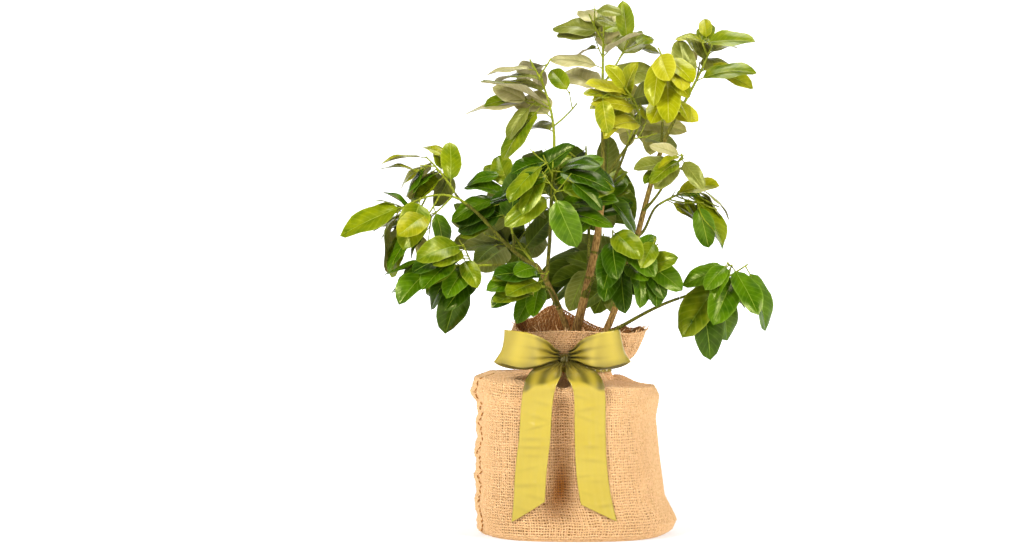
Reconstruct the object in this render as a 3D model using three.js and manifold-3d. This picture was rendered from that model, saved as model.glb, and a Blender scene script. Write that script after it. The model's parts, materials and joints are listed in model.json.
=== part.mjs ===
// A young Persian lime tree in a nursery pot, dressed in a burlap sack that a satin ribbon gathers at
// the neck. Units are millimetres and +Z is up. The origin is the centre of the sack's flat underside,
// and the bow faces -Y. The trunk forks low into boughs. Each outer bough carries one mass of leafy
// twigs, grown by a seeded rule inside its own egg-shaped space, so that no two masses meet.

import * as THREE from 'three';
import { mergeVertices } from 'three/addons/utils/BufferGeometryUtils.js';
import Module from 'manifold-3d';

const wasm = await Module();
wasm.setup();

// Driving sizes
const PLAY = 0.3; // clearance between two pieces that rest on each other
const CLOTH = 2; // burlap with its fuzz
const SHOULDER_HEIGHT = 167; // where the sack folds over the pot's rim
const POT = { height: 160, topRadius: 78, footRadius: 62, wall: 1.5, rimDrop: 12, rimWidth: 2.5 };
const SOIL_HEIGHT = 150; // flat patch that the trunk stands on
const NECK_HEIGHT = 190; // where the ribbon ties the sack
const COLLAR_HEIGHT = 228; // of the sack's rim before it waves
const RIBBON = { width: 38, thickness: 1 };
const LEAF = { width: 0.47, thickness: 1.8, petiole: 0.14, petioleRadius: 0.9, joint: 3 };

const at = (x, y, z) => new THREE.Vector3(x, y, z);
const UP = at(0, 0, 1);
const lerp = THREE.MathUtils.lerp;
const degrees = THREE.MathUtils.degToRad;

// Shape helpers

/**
 * Closes a skin over rings of points. Each ring runs anticlockwise as seen from the rings after it.
 * A ring of one point is a pole, and an open end is closed by a flat cap, but a skin that ends on its
 * first ring is left as a hoop. The quads of the sides that are listed as `turned` are split along their
 * other diagonal, so that both faces of a thin strip stay parallel.
 */
function skin(rings, turned = []) {
  const points = rings.flat();
  const faces = [];
  let start = 0;
  for (let i = 0; i + 1 < rings.length; i += 1) {
    const next = start + rings[i].length;
    const sides = Math.max(rings[i].length, rings[i + 1].length);
    for (let j = 0; j < sides; j += 1) {
      const k = (j + 1) % sides;
      if (rings[i].length === 1) {
        faces.push(start, next + k, next + j);
      } else if (rings[i + 1].length === 1) {
        faces.push(start + j, start + k, next);
      } else if (turned.includes(j)) {
        faces.push(start + j, start + k, next + j, start + k, next + k, next + j);
      } else {
        faces.push(start + j, start + k, next + k, start + j, next + k, next + j);
      }
    }
    start = next;
  }
  const last = rings[rings.length - 1];
  if (last !== rings[0]) {
    for (let j = 1; j + 1 < rings[0].length; j += 1) faces.push(0, j + 1, j);
    for (let j = 1; j + 1 < last.length; j += 1) faces.push(start, start + j, start + j + 1);
  }
  return new THREE.BufferGeometry().setFromPoints(points).setIndex(faces);
}

/** A three.js geometry as a solid that can be joined and cut. */
function solidOf(geometry) {
  const bare = geometry.clone();
  bare.deleteAttribute('normal');
  bare.deleteAttribute('uv');
  const merged = mergeVertices(bare, 1e-4);
  return new wasm.Manifold(new wasm.Mesh({
    numProp: 3,
    vertProperties: new Float32Array(merged.attributes.position.array),
    triVerts: new Uint32Array(merged.index.array),
  }));
}

/** The largest body of a solid as a three.js geometry, without the scraps that a cut leaves. */
function geometryOf(solid) {
  const bodies = solid.decompose().sort((a, b) => b.volume() - a.volume());
  const mesh = bodies[0].getMesh();
  const position = new THREE.BufferAttribute(new Float32Array(mesh.vertProperties), 3);
  return new THREE.BufferGeometry()
    .setAttribute('position', position)
    .setIndex(new THREE.BufferAttribute(new Uint32Array(mesh.triVerts), 1));
}

const tree = new THREE.Group();

/** Adds one named piece to the model. */
function piece(name, geometry, colour, roughness) {
  const shaded = geometry.toNonIndexed();
  shaded.computeVertexNormals();
  const material = new THREE.MeshStandardMaterial({ color: colour, roughness, metalness: 0 });
  const mesh = new THREE.Mesh(shaded, material);
  mesh.name = name;
  tree.add(mesh);
}

// The sack. Each station gives how far the cloth reaches to the left, the right and the front at one height.

const SACK_AROUND = 36;
const SACK_STATIONS = [
  { z: 0, left: -98, right: 100, depth: 80 },
  { z: 6, left: -106, right: 111, depth: 86 },
  { z: 17, left: -108, right: 116, depth: 88 },
  { z: 44, left: -109, right: 102, depth: 89 },
  { z: 90, left: -110, right: 96, depth: 90 },
  { z: 132, left: -109, right: 91, depth: 89 },
  { z: 155, left: -113, right: 94, depth: 89, leftRise: 4 },
  { z: SHOULDER_HEIGHT, left: -110, right: 88, depth: 83, leftRise: 9 },
  { z: 169, left: -94, right: 70, depth: 68, leftRise: 13 },
  { z: 173, left: -60, right: 47, depth: 48, leftRise: 10 },
  { z: NECK_HEIGHT, left: -41, right: 37, depth: 38 },
  { z: 197, left: -44, right: 50, depth: 42 },
  { z: 212, left: -56, right: 72, depth: 56 },
  { z: COLLAR_HEIGHT, left: -66, right: 78, depth: 68 },
];
const SACK_SQUARENESS = 2.5; // 2 is an ellipse, and more is squarer
const SEAM = { reach: 5, width: 0.16 }; // the sewn edges at the left and right, raised over the cloth
const COLLAR = { from: 200, peak: 0.56 * Math.PI, backRise: 26, ruffles: 5, ruffleDepth: 4, wave: 2.5 };
const FRONT_FOLD = { x: -17, depth: 4, width: 13, bottom: 25, top: 150 }; // behind the bow's tails

/** A point of the cloth at an angle round the sack, which starts at the right and passes the back. */
function clothPoint(station, angle, inset) {
  const c = Math.cos(angle);
  const s = Math.sin(angle);
  const middle = (station.left + station.right) / 2;
  const half = (station.right - station.left) / 2 - inset;
  const squarish = (v) => Math.sign(v) * Math.abs(v) ** (2 / SACK_SQUARENESS);
  const body = station.z <= SHOULDER_HEIGHT ? 1 : 0;
  const fromSeam = Math.min(Math.abs(angle), Math.abs(angle - Math.PI), Math.abs(angle - 2 * Math.PI));
  const seam = body * SEAM.reach * Math.exp(-((fromSeam / SEAM.width) ** 2));
  const flare = THREE.MathUtils.smoothstep(station.z, COLLAR.from, COLLAR_HEIGHT);
  const ruffle = flare * COLLAR.ruffleDepth * Math.sin(COLLAR.ruffles * angle + 1);
  const backRise = COLLAR.backRise * Math.exp(-(((angle - COLLAR.peak) / 0.75) ** 2));
  const rise = flare * (backRise + COLLAR.wave * Math.sin(3 * angle + 0.6));
  const leftRise = (station.leftRise ?? 0) * Math.max(0, -c);
  const x = middle + squarish(c) * (half - SEAM.reach * body) + Math.sign(c) * seam + c * ruffle;
  const { bottom, top } = FRONT_FOLD;
  const inFold = s < 0 && station.z > bottom && station.z < top ? FRONT_FOLD.depth : 0;
  const fold = inFold * Math.exp(-(((x - FRONT_FOLD.x) / FRONT_FOLD.width) ** 2));
  const y = squarish(s) * (station.depth - inset) + s * ruffle + fold;
  return at(x, y, station.z + rise + leftRise);
}

/** A ring of the cloth, moved inwards by its thickness for the inner face. */
function clothRing(station, inset = 0, lift = 0) {
  const ring = [];
  for (let j = 0; j < SACK_AROUND; j += 1) {
    ring.push(clothPoint(station, (2 * Math.PI * j) / SACK_AROUND, inset).add(at(0, 0, lift)));
  }
  return ring;
}

function sack() {
  const outside = SACK_STATIONS.map((station) => clothRing(station));
  const inside = SACK_STATIONS.slice(1).reverse().map((station) => {
    const underShoulder = station.z >= SHOULDER_HEIGHT && station.z < NECK_HEIGHT;
    return clothRing(station, CLOTH, underShoulder ? -CLOTH : 0);
  });
  const floor = clothRing({ ...SACK_STATIONS[1], z: CLOTH }, CLOTH + 3);
  return skin([[at(0, 0, 0)], ...outside, ...inside, floor, [at(0, 0, CLOTH)]]);
}

piece('burlap_sack', sack(), 0xc99a5f, 0.95);

// The pot inside the sack, and the soil that fills it

const POT_FOOT = CLOTH + PLAY;
const POT_FACETS = 32;

/** A body turned round the Z axis from its outline, given as pairs of radius and height. */
function lathed(outline) {
  const profile = outline.map(([r, z]) => new THREE.Vector2(r, z));
  return new THREE.LatheGeometry(profile, POT_FACETS).rotateX(Math.PI / 2);
}

function nurseryPot() {
  const { height, topRadius, footRadius, wall, rimDrop, rimWidth } = POT;
  const top = POT_FOOT + height;
  return lathed([
    [0, POT_FOOT],
    [footRadius, POT_FOOT],
    [topRadius - rimWidth, top - rimDrop],
    [topRadius, top - rimDrop],
    [topRadius, top],
    [topRadius - rimWidth, top],
    [footRadius - wall, POT_FOOT + wall],
    [0, POT_FOOT + wall],
  ]);
}

/** The inside radius of the pot at a height. */
function potInside(z) {
  const share = (z - POT_FOOT - POT.wall) / (POT.height - POT.wall);
  return lerp(POT.footRadius - POT.wall, POT.topRadius - POT.rimWidth, share);
}

function soil() {
  const foot = POT_FOOT + POT.wall + PLAY;
  const edge = SOIL_HEIGHT - 6;
  return lathed([
    [0, foot],
    [potInside(foot) - 2 * PLAY, foot],
    [potInside(edge) - 2 * PLAY, edge],
    [45, SOIL_HEIGHT - 2],
    [20, SOIL_HEIGHT],
    [0, SOIL_HEIGHT],
  ]);
}

piece('nursery_pot', nurseryPot(), 0x1c1c1e, 0.5);
piece('potting_soil', soil(), 0x2e2018, 1);

// The ribbon: a band round the neck, a knot in front of it, two loops and two tails.
// What rests on the cloth or on the knot is cut clear of it.

const BAND = { heights: [184, 190, 197], clear: 0.8, thickness: 2, around: 24 };
const KNOT = { centre: at(-11, -49, 195), half: at(7, 8, 8) };
const SATIN = 0xb9ad35;

/** The sack's outline at any height, between its stations. */
function stationAt(z) {
  const i = SACK_STATIONS.findIndex((station) => station.z >= z);
  const [low, high] = [SACK_STATIONS[Math.max(0, i - 1)], SACK_STATIONS[i]];
  const share = i > 0 ? (z - low.z) / (high.z - low.z) : 0;
  const mix = (key) => lerp(low[key] ?? 0, high[key] ?? 0, share);
  return { z, left: mix('left'), right: mix('right'), depth: mix('depth'), leftRise: mix('leftRise') };
}

/** The cloth's outside from one height to another as a filled body, grown by `clear`. */
function clothBody(from, to, clear) {
  const between = SACK_STATIONS.filter(({ z }) => z > from && z < to);
  const stations = [stationAt(from), ...between, stationAt(to)];
  return solidOf(skin(stations.map((station) => clothRing(station, -clear))));
}

/** How far forward the cloth reaches at a place on its front. */
function clothFront(x, z) {
  const { left, right, depth } = stationAt(z);
  const aside = Math.abs((x - (left + right) / 2) / ((right - left) / 2));
  return -depth * (1 - aside ** SACK_SQUARENESS) ** (1 / SACK_SQUARENESS);
}

/**
 * A length of ribbon along a curve. The width at each share of the way is set square to the curve,
 * along the direction `across`.
 */
function strip(curve, steps, widthAt, across) {
  const rings = [];
  for (let i = 0; i <= steps; i += 1) {
    const share = i / steps;
    const along = curve.getTangentAt(share);
    const wide = across.clone().projectOnPlane(along).normalize();
    const out = along.clone().cross(wide).normalize();
    const middle = curve.getPointAt(share);
    const corner = (a, b) => middle.clone()
      .addScaledVector(wide, (a * widthAt(share)) / 2)
      .addScaledVector(out, (b * RIBBON.thickness) / 2);
    rings.push([corner(1, 1), corner(-1, 1), corner(-1, -1), corner(1, -1)]);
  }
  return solidOf(skin(rings, [2]));
}

/** One loop of the bow, from the knot out in front, round its end and back. `side` is -1 for the left. */
function bowLoop(side, reach) {
  const { x, z } = KNOT.centre;
  const point = (share, y, rise) => at(x + side * lerp(5, reach, share), y, z + rise);
  const curve = new THREE.CatmullRomCurve3([
    point(0, -55, 3),
    point(0.25, -76, 14),
    point(0.6, -86, 19),
    point(0.94, -84, 19),
    point(1, -76, 18),
    point(0.9, -69, 17),
    point(0.55, -66, 14),
    point(0.2, -60, 7),
    point(0, -51, 0),
  ]);
  const width = (share) => lerp(9, RIBBON.width - 3, Math.min(1, 1.3 * Math.sin(Math.PI * share) ** 0.6));
  return strip(curve, 18, width, at(-side * 0.18, -0.25, 1));
}

/**
 * One tail of the bow: out from the knot and over the sack's shoulder along `over`, then down the cloth
 * through `places`, given as x and z. The end is cut on the slant.
 */
function bowTail(over, places, slant) {
  const lift = RIBBON.thickness / 2 + 2 * PLAY;
  const hanging = places.map(([x, z]) => at(x, clothFront(x, z) - lift, z));
  const curve = new THREE.CatmullRomCurve3([...over.map(([x, y, z]) => at(x, y, z)), ...hanging]);
  const spread = (share) => THREE.MathUtils.smoothstep(share, 0, 0.28);
  const width = (share) => lerp(12, lerp(RIBBON.width, RIBBON.width - 4, share), spread(share));
  const [x, z] = places[1];
  const half = RIBBON.width / 2;
  const flat = at(RIBBON.width, clothFront(x + half, z) - clothFront(x - half, z), 0);
  const keep = at(slant, 0, 1).normalize();
  const cut = hanging[hanging.length - 1].clone().add(at(0, 0, half));
  return strip(curve, 18, width, flat).trimByPlane(keep.toArray(), keep.dot(cut));
}

/** The knot as an egg shape, grown by `clear`. */
function knotBody(clear) {
  const { half, centre } = KNOT;
  const egg = new THREE.SphereGeometry(1, 10, 6).scale(half.x + clear, half.y + clear, half.z + clear);
  return solidOf(egg.translate(centre.x, centre.y, centre.z));
}

/** The band round the neck, as a hoop whose inner face follows the cloth. */
function ribbonBand() {
  const sections = [];
  for (let j = 0; j < BAND.around; j += 1) {
    const angle = (2 * Math.PI * j) / BAND.around;
    const face = (grow) => BAND.heights.map((z) => clothPoint(stationAt(z), angle, -grow));
    sections.push([...face(BAND.clear), ...face(BAND.clear + BAND.thickness).reverse()]);
  }
  return skin([...sections, sections[0]]);
}

const overBand = BAND.clear + BAND.thickness + PLAY;
const bandBody = clothBody(BAND.heights[0] - PLAY, BAND.heights[2] + PLAY, overBand);
const dressed = clothBody(0, COLLAR_HEIGHT, PLAY).add(bandBody);
const clearKnot = knotBody(PLAY);
const LEFT_TAIL = {
  over: [[-18, -58, 189], [-27, -74, 184], [-36, -90, 173]],
  places: [[-41, 150], [-43, 110], [-45, 70], [-52, 16]],
};
const RIGHT_TAIL = {
  over: [[-4, -58, 189], [5, -74, 182], [13, -90, 170]],
  places: [[17, 148], [18, 110], [20, 70], [28, 16]],
};
const RIBBONS = {
  bow_loop_left: bowLoop(-1, 75),
  bow_loop_right: bowLoop(1, 67),
  bow_tail_left: bowTail(LEFT_TAIL.over, LEFT_TAIL.places, -0.58),
  bow_tail_right: bowTail(RIGHT_TAIL.over, RIGHT_TAIL.places, 0.56),
};

piece('ribbon_band', ribbonBand(), SATIN, 0.4);
piece('ribbon_knot', geometryOf(knotBody(0).subtract(dressed)), SATIN, 0.4);
for (const [name, ribbon] of Object.entries(RIBBONS)) {
  piece(name, geometryOf(ribbon.subtract(dressed).subtract(clearKnot)), SATIN, 0.4);
}

// Limbs. Each leaves its parent at a share of the parent's length, and bends from one direction to another.

const BARK = 0x6f5a35;
const RING_SPACING = 28;
const ROOT_FLARE = 1 / 3; // share of the trunk that its root flare takes
const LIMBS = [
  { name: 'trunk', from: at(6, 4, SOIL_HEIGHT + PLAY), to: at(-1, 0, 214),
    leave: [0, 0, 1], arrive: [-0.15, 0, 1], radii: [9, 7], sides: 10, flare: 5 },
  { name: 'bough_centre', parent: 'trunk', share: 0.97, to: at(34, 0, 403),
    leave: [0.25, 0, 1], arrive: [0.02, 0, 1], radii: [5.6, 3.2], sides: 8 },
  { name: 'bough_left', parent: 'trunk', share: 0.95, to: at(-41, -20, 302),
    leave: [-0.3, 0, 1], arrive: [-0.55, -0.3, 0.78], radii: [3.9, 2.8], sides: 7 },
  { name: 'bough_right', parent: 'trunk', share: 0.35, to: at(103, 0, 443),
    leave: [0.6, 0, 0.8], arrive: [0.33, 0, 0.94], radii: [4.6, 2.6], sides: 7 },
  { name: 'bough_front', parent: 'bough_left', share: 0.8, to: at(-22, -35, 432),
    leave: [0.1, -0.4, 0.92], arrive: [0.05, 0.12, 0.98], radii: [2.4, 1.7], sides: 6 },
  { name: 'bough_far_left', parent: 'bough_left', share: 1, to: at(-119, -25, 371),
    leave: [-0.85, -0.1, 0.35], arrive: [-0.75, 0, 0.6], radii: [2.4, 1.7], sides: 6 },
  { name: 'bough_high_left', parent: 'bough_far_left', share: 0.72, to: at(-133, -14, 384),
    leave: [-0.5, 0.3, 0.8], arrive: [-0.5, 0.1, 0.85], radii: [1.8, 1.5], sides: 5 },
  { name: 'bough_low_left', parent: 'bough_left', share: 0.93, to: at(-91, -50, 303),
    leave: [-0.75, -0.6, 0.05], arrive: [-0.95, -0.2, -0.05], radii: [2, 1.6], sides: 6 },
  { name: 'bough_inner_left', parent: 'bough_far_left', share: 0.3, to: at(-68, 6, 338),
    leave: [-0.1, 0.7, 0.7], arrive: [-0.2, 0.2, 0.95], radii: [1.8, 1.5], sides: 5 },
  { name: 'bough_low_front', parent: 'bough_left', share: 0.5, to: at(-33, -48, 279),
    leave: [-0.2, -0.95, 0.1], arrive: [-0.6, -0.8, 0], radii: [1.8, 1.5], sides: 5 },
  { name: 'bough_face', parent: 'bough_front', share: 0.3, to: at(-27, -60, 347),
    leave: [0.1, -0.9, 0.3], arrive: [0, -0.6, 0.8], radii: [1.8, 1.5], sides: 5 },
  { name: 'bough_top', parent: 'bough_centre', share: 1, to: at(34, 14, 481),
    leave: [0, 0.1, 1], arrive: [0, 0.1, 1], radii: [2.6, 1.9], sides: 6 },
  { name: 'bough_flush_left', parent: 'bough_centre', share: 0.97, to: at(69, -13, 450),
    leave: [0.5, -0.2, 0.85], arrive: [0.5, -0.2, 0.85], radii: [2, 1.6], sides: 5 },
  { name: 'bough_flush', parent: 'bough_right', share: 0.97, to: at(100, -18, 464),
    leave: [-0.1, -0.7, 0.7], arrive: [0, -0.1, 1], radii: [1.9, 1.6], sides: 5 },
  { name: 'bough_top_right', parent: 'bough_right', share: 1, to: at(126, 2, 487),
    leave: [0.4, 0, 0.9], arrive: [0.5, 0.05, 0.87], radii: [2.3, 1.8], sides: 6 },
  { name: 'bough_right_high', parent: 'bough_right', share: 0.72, to: at(103, -14, 396),
    leave: [0.6, -0.5, 0.6], arrive: [0.4, -0.3, 0.85], radii: [1.7, 1.5], sides: 5 },
  { name: 'bough_right_side', parent: 'bough_right', share: 0.62, to: at(98, 14, 372),
    leave: [0.85, 0.5, 0.2], arrive: [0.8, 0.2, 0.5], radii: [1.8, 1.5], sides: 5 },
  { name: 'bough_low_right', parent: 'bough_right', share: 0.2, to: at(119, -20, 266),
    leave: [0.85, -0.2, 0.5], arrive: [0.92, -0.1, 0.3], radii: [2.4, 1.7], sides: 6 },
  { name: 'bough_right_front', parent: 'bough_centre', share: 0.3, to: at(34, -38, 303),
    leave: [0.2, -0.95, 0.2], arrive: [0.5, -0.8, 0.2], radii: [2, 1.6], sides: 5 },
  { name: 'bough_middle', parent: 'bough_centre', share: 0.55, to: at(32, 20, 338),
    leave: [0.2, 0.9, 0.4], arrive: [0, 0.5, 0.85], radii: [2, 1.6], sides: 5 },
  { name: 'bough_back_left', parent: 'bough_left', share: 0.45, to: at(-44, 48, 306),
    leave: [-0.3, 0.9, 0.3], arrive: [-0.5, 0.6, 0.6], radii: [2.2, 1.7], sides: 6 },
  { name: 'bough_back', parent: 'bough_centre', share: 0.4, to: at(20, 68, 356),
    leave: [0, 0.9, 0.4], arrive: [0, 0.6, 0.8], radii: [2.4, 1.8], sides: 6 },
  { name: 'bough_back_right', parent: 'bough_right', share: 0.33, to: at(58, 62, 272),
    leave: [0.1, 0.9, 0.3], arrive: [0.1, 0.8, 0.5], radii: [2.2, 1.7], sides: 6 },
  { name: 'bough_back_top', parent: 'bough_centre', share: 0.85, to: at(62, 48, 436),
    leave: [0.4, 0.7, 0.6], arrive: [0.3, 0.5, 0.8], radii: [2, 1.6], sides: 5 },
];

/** The bending centre line between two points, given the directions at its ends. */
function bend(from, to, leave, arrive) {
  const pull = from.distanceTo(to) / 3;
  const first = at(...leave).normalize().multiplyScalar(pull).add(from);
  const second = at(...arrive).normalize().multiplyScalar(-pull).add(to);
  return new THREE.CubicBezierCurve3(from, first, second, to);
}

/** Rings along a centre line that keep square to it without twisting, with radii from `radiusAt`. */
function tubeRings(curve, steps, sides, radiusAt) {
  const rings = [];
  let side = at(0, 1, 0);
  for (let i = 0; i <= steps; i += 1) {
    const share = i / steps;
    const along = curve.getTangent(share);
    if (Math.abs(along.dot(side)) > 0.95) side = at(1, 0, 0);
    side = side.projectOnPlane(along).normalize();
    const other = along.clone().cross(side);
    const middle = curve.getPoint(share);
    const ring = [];
    for (let j = 0; j < sides; j += 1) {
      const angle = (2 * Math.PI * j) / sides;
      ring.push(middle.clone()
        .addScaledVector(side, Math.cos(angle) * radiusAt(share))
        .addScaledVector(other, Math.sin(angle) * radiusAt(share)));
    }
    rings.push(ring);
  }
  return rings;
}

/** A limb's solid, thicker all round and past its ends by `grow` when another limb is cut clear of it. */
function limbSolid(limb, grow = 0) {
  const { curve, radii, sides, flare = 0 } = limb;
  const spread = (share) => flare * (1 - Math.min(1, share / ROOT_FLARE)) ** 2;
  const radius = (share) => lerp(radii[0], radii[1], share) + spread(share) + grow;
  const steps = Math.max(4, Math.round(curve.getLength() / RING_SPACING));
  const rings = tubeRings(curve, steps, sides, radius);
  const push = (ring, direction) => ring.forEach((point) => point.addScaledVector(direction, grow));
  push(rings[0], curve.getTangent(0).negate());
  push(rings[steps], curve.getTangent(1));
  return solidOf(skin(rings));
}

const limbs = new Map();
for (const plan of LIMBS) {
  const parent = limbs.get(plan.parent);
  const from = parent ? parent.curve.getPoint(plan.share) : plan.from;
  const limb = { ...plan, curve: bend(from, plan.to, plan.leave, plan.arrive) };
  let solid = limbSolid(limb);
  for (const made of limbs.values()) solid = solid.subtract(limbSolid(made, PLAY));
  limbs.set(plan.name, limb);
  piece(plan.name, geometryOf(solid), BARK, 0.8);
}

// Masses. Each has its own egg-shaped space; a point belongs to the space that it is relatively nearest to.

const MASSES = [
  { name: 'crown_far_left', bough: 'bough_far_left', tip: at(-199, -33, 361), centre: at(-204, -32, 345),
    radii: at(88, 62, 66), seed: 622, stemLeaves: 5, twigs: 4, twigLeaves: 2, twigLength: 46, leaf: 69,
    droop: 0.25, show: 0.5, tint: 'bright' },
  { name: 'crown_high_left', bough: 'bough_high_left', tip: at(-166, -13, 425), centre: at(-158, -12, 400),
    radii: at(66, 54, 56), seed: 395, stemLeaves: 7, twigs: 2, twigLeaves: 3, twigLength: 20, leaf: 75,
    droop: 0.45, show: 0.7, tint: 'bright' },
  { name: 'crown_low_left', bough: 'bough_low_left', tip: at(-153, -70, 304), centre: at(-146, -62, 284),
    radii: at(72, 60, 62), seed: 48, stemLeaves: 5, twigs: 2, twigLeaves: 2, twigLength: 35, leaf: 68,
    droop: 0.5, show: 0.8, tint: 'mature' },
  { name: 'crown_inner_left', bough: 'bough_inner_left', tip: at(-91, 13, 391), centre: at(-84, 12, 372),
    radii: at(58, 56, 62), seed: 152, stemLeaves: 7, twigs: 3, twigLeaves: 3, twigLength: 36, leaf: 70,
    droop: 0.15, show: 1.1, tint: 'mature' },
  { name: 'crown_low_front', bough: 'bough_low_front', tip: at(-57, -82, 285), centre: at(-58, -78, 276),
    radii: at(54, 44, 40), seed: 594, stemLeaves: 5, twigs: 2, twigLeaves: 3, twigLength: 38, leaf: 70,
    droop: 0.05, show: 1.1, tint: 'mature' },
  { name: 'crown_face', bough: 'bough_face', tip: at(-24, -82, 416), centre: at(-18, -78, 376),
    radii: at(80, 52, 62), seed: 529, stemLeaves: 6, twigs: 4, twigLeaves: 3, twigLength: 44, leaf: 79,
    droop: 0.45, show: 1, tint: 'mature' },
  { name: 'crown_upper_left', bough: 'bough_front', tip: at(-49, -16, 534), centre: at(-54, -12, 486),
    radii: at(78, 58, 74), seed: 61, stemLeaves: 6, twigs: 4, twigLeaves: 3, twigLength: 34, leaf: 89,
    droop: 0.1, show: 0.7, tint: 'mature' },
  { name: 'crown_top', bough: 'bough_top', tip: at(36, 21, 580), centre: at(44, 24, 548),
    radii: at(84, 64, 66), seed: 431, stemLeaves: 6, twigs: 3, twigLeaves: 1, twigLength: 50, leaf: 65,
    droop: -0.1, show: 1.2, tint: 'mature' },
  { name: 'crown_flush_left', bough: 'bough_flush_left', tip: at(56, -42, 500), centre: at(54, -36, 488),
    radii: at(50, 46, 52), seed: 900, stemLeaves: 3, twigs: 4, twigLeaves: 3, twigLength: 40, leaf: 59,
    droop: -0.1, show: 1.2, tint: 'young' },
  { name: 'crown_flush', bough: 'bough_flush', tip: at(110, -43, 536), centre: at(104, -38, 494),
    radii: at(48, 46, 60), seed: 280, stemLeaves: 5, twigs: 3, twigLeaves: 3, twigLength: 30, leaf: 66,
    droop: 0.5, show: 0.8, tint: 'young' },
  { name: 'crown_top_right', bough: 'bough_top_right', tip: at(162, 10, 562), centre: at(162, 10, 532),
    radii: at(66, 58, 74), seed: 471, stemLeaves: 6, twigs: 2, twigLeaves: 1, twigLength: 35, leaf: 69,
    droop: 0.25, show: 0.7, tint: 'bright' },
  { name: 'crown_right_high', bough: 'bough_right_high', tip: at(123, -24, 426), centre: at(112, -20, 412),
    radii: at(50, 42, 38), seed: 510, stemLeaves: 7, twigs: 2, twigLeaves: 2, twigLength: 16, leaf: 64,
    droop: 0.5, show: 0.8, tint: 'young' },
  { name: 'crown_right_side', bough: 'bough_right_side', tip: at(145, 19, 391), centre: at(124, 20, 356),
    radii: at(62, 52, 62), seed: 680, stemLeaves: 5, twigs: 4, twigLeaves: 2, twigLength: 46, leaf: 71,
    droop: 0.15, show: 0.3, tint: 'bright' },
  { name: 'crown_low_right', bough: 'bough_low_right', tip: at(195, -26, 304), centre: at(158, -26, 272),
    radii: at(74, 52, 80), seed: 69, stemLeaves: 3, twigs: 2, twigLeaves: 1, twigLength: 17, leaf: 85,
    droop: 1.2, show: 1, tint: 'mature' },
  { name: 'crown_right_front', bough: 'bough_right_front', tip: at(80, -74, 306), centre: at(62, -74, 298),
    radii: at(64, 50, 54), seed: 303, stemLeaves: 6, twigs: 4, twigLeaves: 2, twigLength: 40, leaf: 68,
    droop: 0.5, show: 1.2, tint: 'mature' },
  { name: 'crown_middle', bough: 'bough_middle', tip: at(29, 34, 401), centre: at(32, 36, 368),
    radii: at(60, 46, 56), seed: 842, stemLeaves: 6, twigs: 4, twigLeaves: 1, twigLength: 26, leaf: 68,
    droop: 0.5, show: 1, tint: 'mature' },
  { name: 'crown_back_left', bough: 'bough_back_left', tip: at(-81, 99, 368), centre: at(-70, 96, 346),
    radii: at(74, 64, 72), seed: 367, stemLeaves: 3, twigs: 4, twigLeaves: 3, twigLength: 39, leaf: 80,
    droop: 0.4, show: 1.1, tint: 'mature' },
  { name: 'crown_back', bough: 'bough_back', tip: at(19, 134, 445), centre: at(24, 122, 400),
    radii: at(68, 62, 76), seed: 439, stemLeaves: 6, twigs: 2, twigLeaves: 2, twigLength: 37, leaf: 78,
    droop: 0.5, show: 0.7, tint: 'mature' },
  { name: 'crown_back_right', bough: 'bough_back_right', tip: at(4, 116, 314), centre: at(34, 104, 298),
    radii: at(84, 58, 62), seed: 651, stemLeaves: 6, twigs: 5, twigLeaves: 3, twigLength: 43, leaf: 83,
    droop: 0.5, show: 0.8, tint: 'mature' },
  { name: 'crown_back_top', bough: 'bough_back_top', tip: at(81, 87, 492), centre: at(80, 84, 474),
    radii: at(58, 50, 62), seed: 67, stemLeaves: 3, twigs: 5, twigLeaves: 2, twigLength: 34, leaf: 64,
    droop: 0.2, show: 1.1, tint: 'bright' },
];
const TINTS = { mature: 0x3c6b1c, bright: 0x5f8a22, young: 0xa3a820 };

const SPIRAL = degrees(135); // turn from one leaf to the next
const TWIG_ANGLE = degrees(52);
const LEAF_ANGLE = degrees(58);
const TRIES = 24;
const MIDDLE_Y = 60; // masses in front of this show their leaves to the front, and the others to the back
const LIMB_SPACING = 2.5; // from a limb's bark to a leaf or twig
const BLADE_STATIONS = [0.14, 0.42, 0.75];
const LEAF_SPANS = { base: 0.55, tip: 0.75 }; // how blunt the blade is towards each end

/** The minimal standard generator: numbers from 0 to 1, the same on every machine. */
function seeded(seed) {
  let state = (seed * 7919) % 2147483647;
  return () => {
    state = (state * 48271) % 2147483647;
    return state / 2147483647;
  };
}

/** How far a point lies from a space's centre, where 1 is its surface. */
function relative(point, mass) {
  return point.clone().sub(mass.centre).divide(mass.radii).length();
}

/** Whether a point is inside a mass's own space and nearer to it than to any other. */
function inOwnSpace(point, mass) {
  const own = relative(point, mass);
  return own < 1 && MASSES.every((other) => other === mass || relative(point, other) > own + 0.02);
}

const limbPoints = [...limbs.values()].flatMap((limb) => {
  const steps = Math.ceil(limb.curve.getLength() / 4);
  return Array.from({ length: steps + 1 }, (_, i) => {
    const share = i / steps;
    return { point: limb.curve.getPoint(share), radius: lerp(...limb.radii, share) };
  });
});

const limbLines = [...limbs.values()].map((limb) => limb.curve.getPoints(8));

/** Whether a point is clear of every limb. */
function clearOfLimbs(point) {
  return limbPoints.every((limb) => limb.point.distanceTo(point) > limb.radius + LIMB_SPACING);
}

/** Half the width of a blade at a share of its length. */
function halfWidth(leaf, share) {
  const { base, tip } = LEAF_SPANS;
  const widest = base / (base + tip);
  const peak = widest ** base * (1 - widest) ** tip;
  return ((leaf.length * LEAF.width) / 2) * (share ** base * (1 - share) ** tip) / peak;
}

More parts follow.
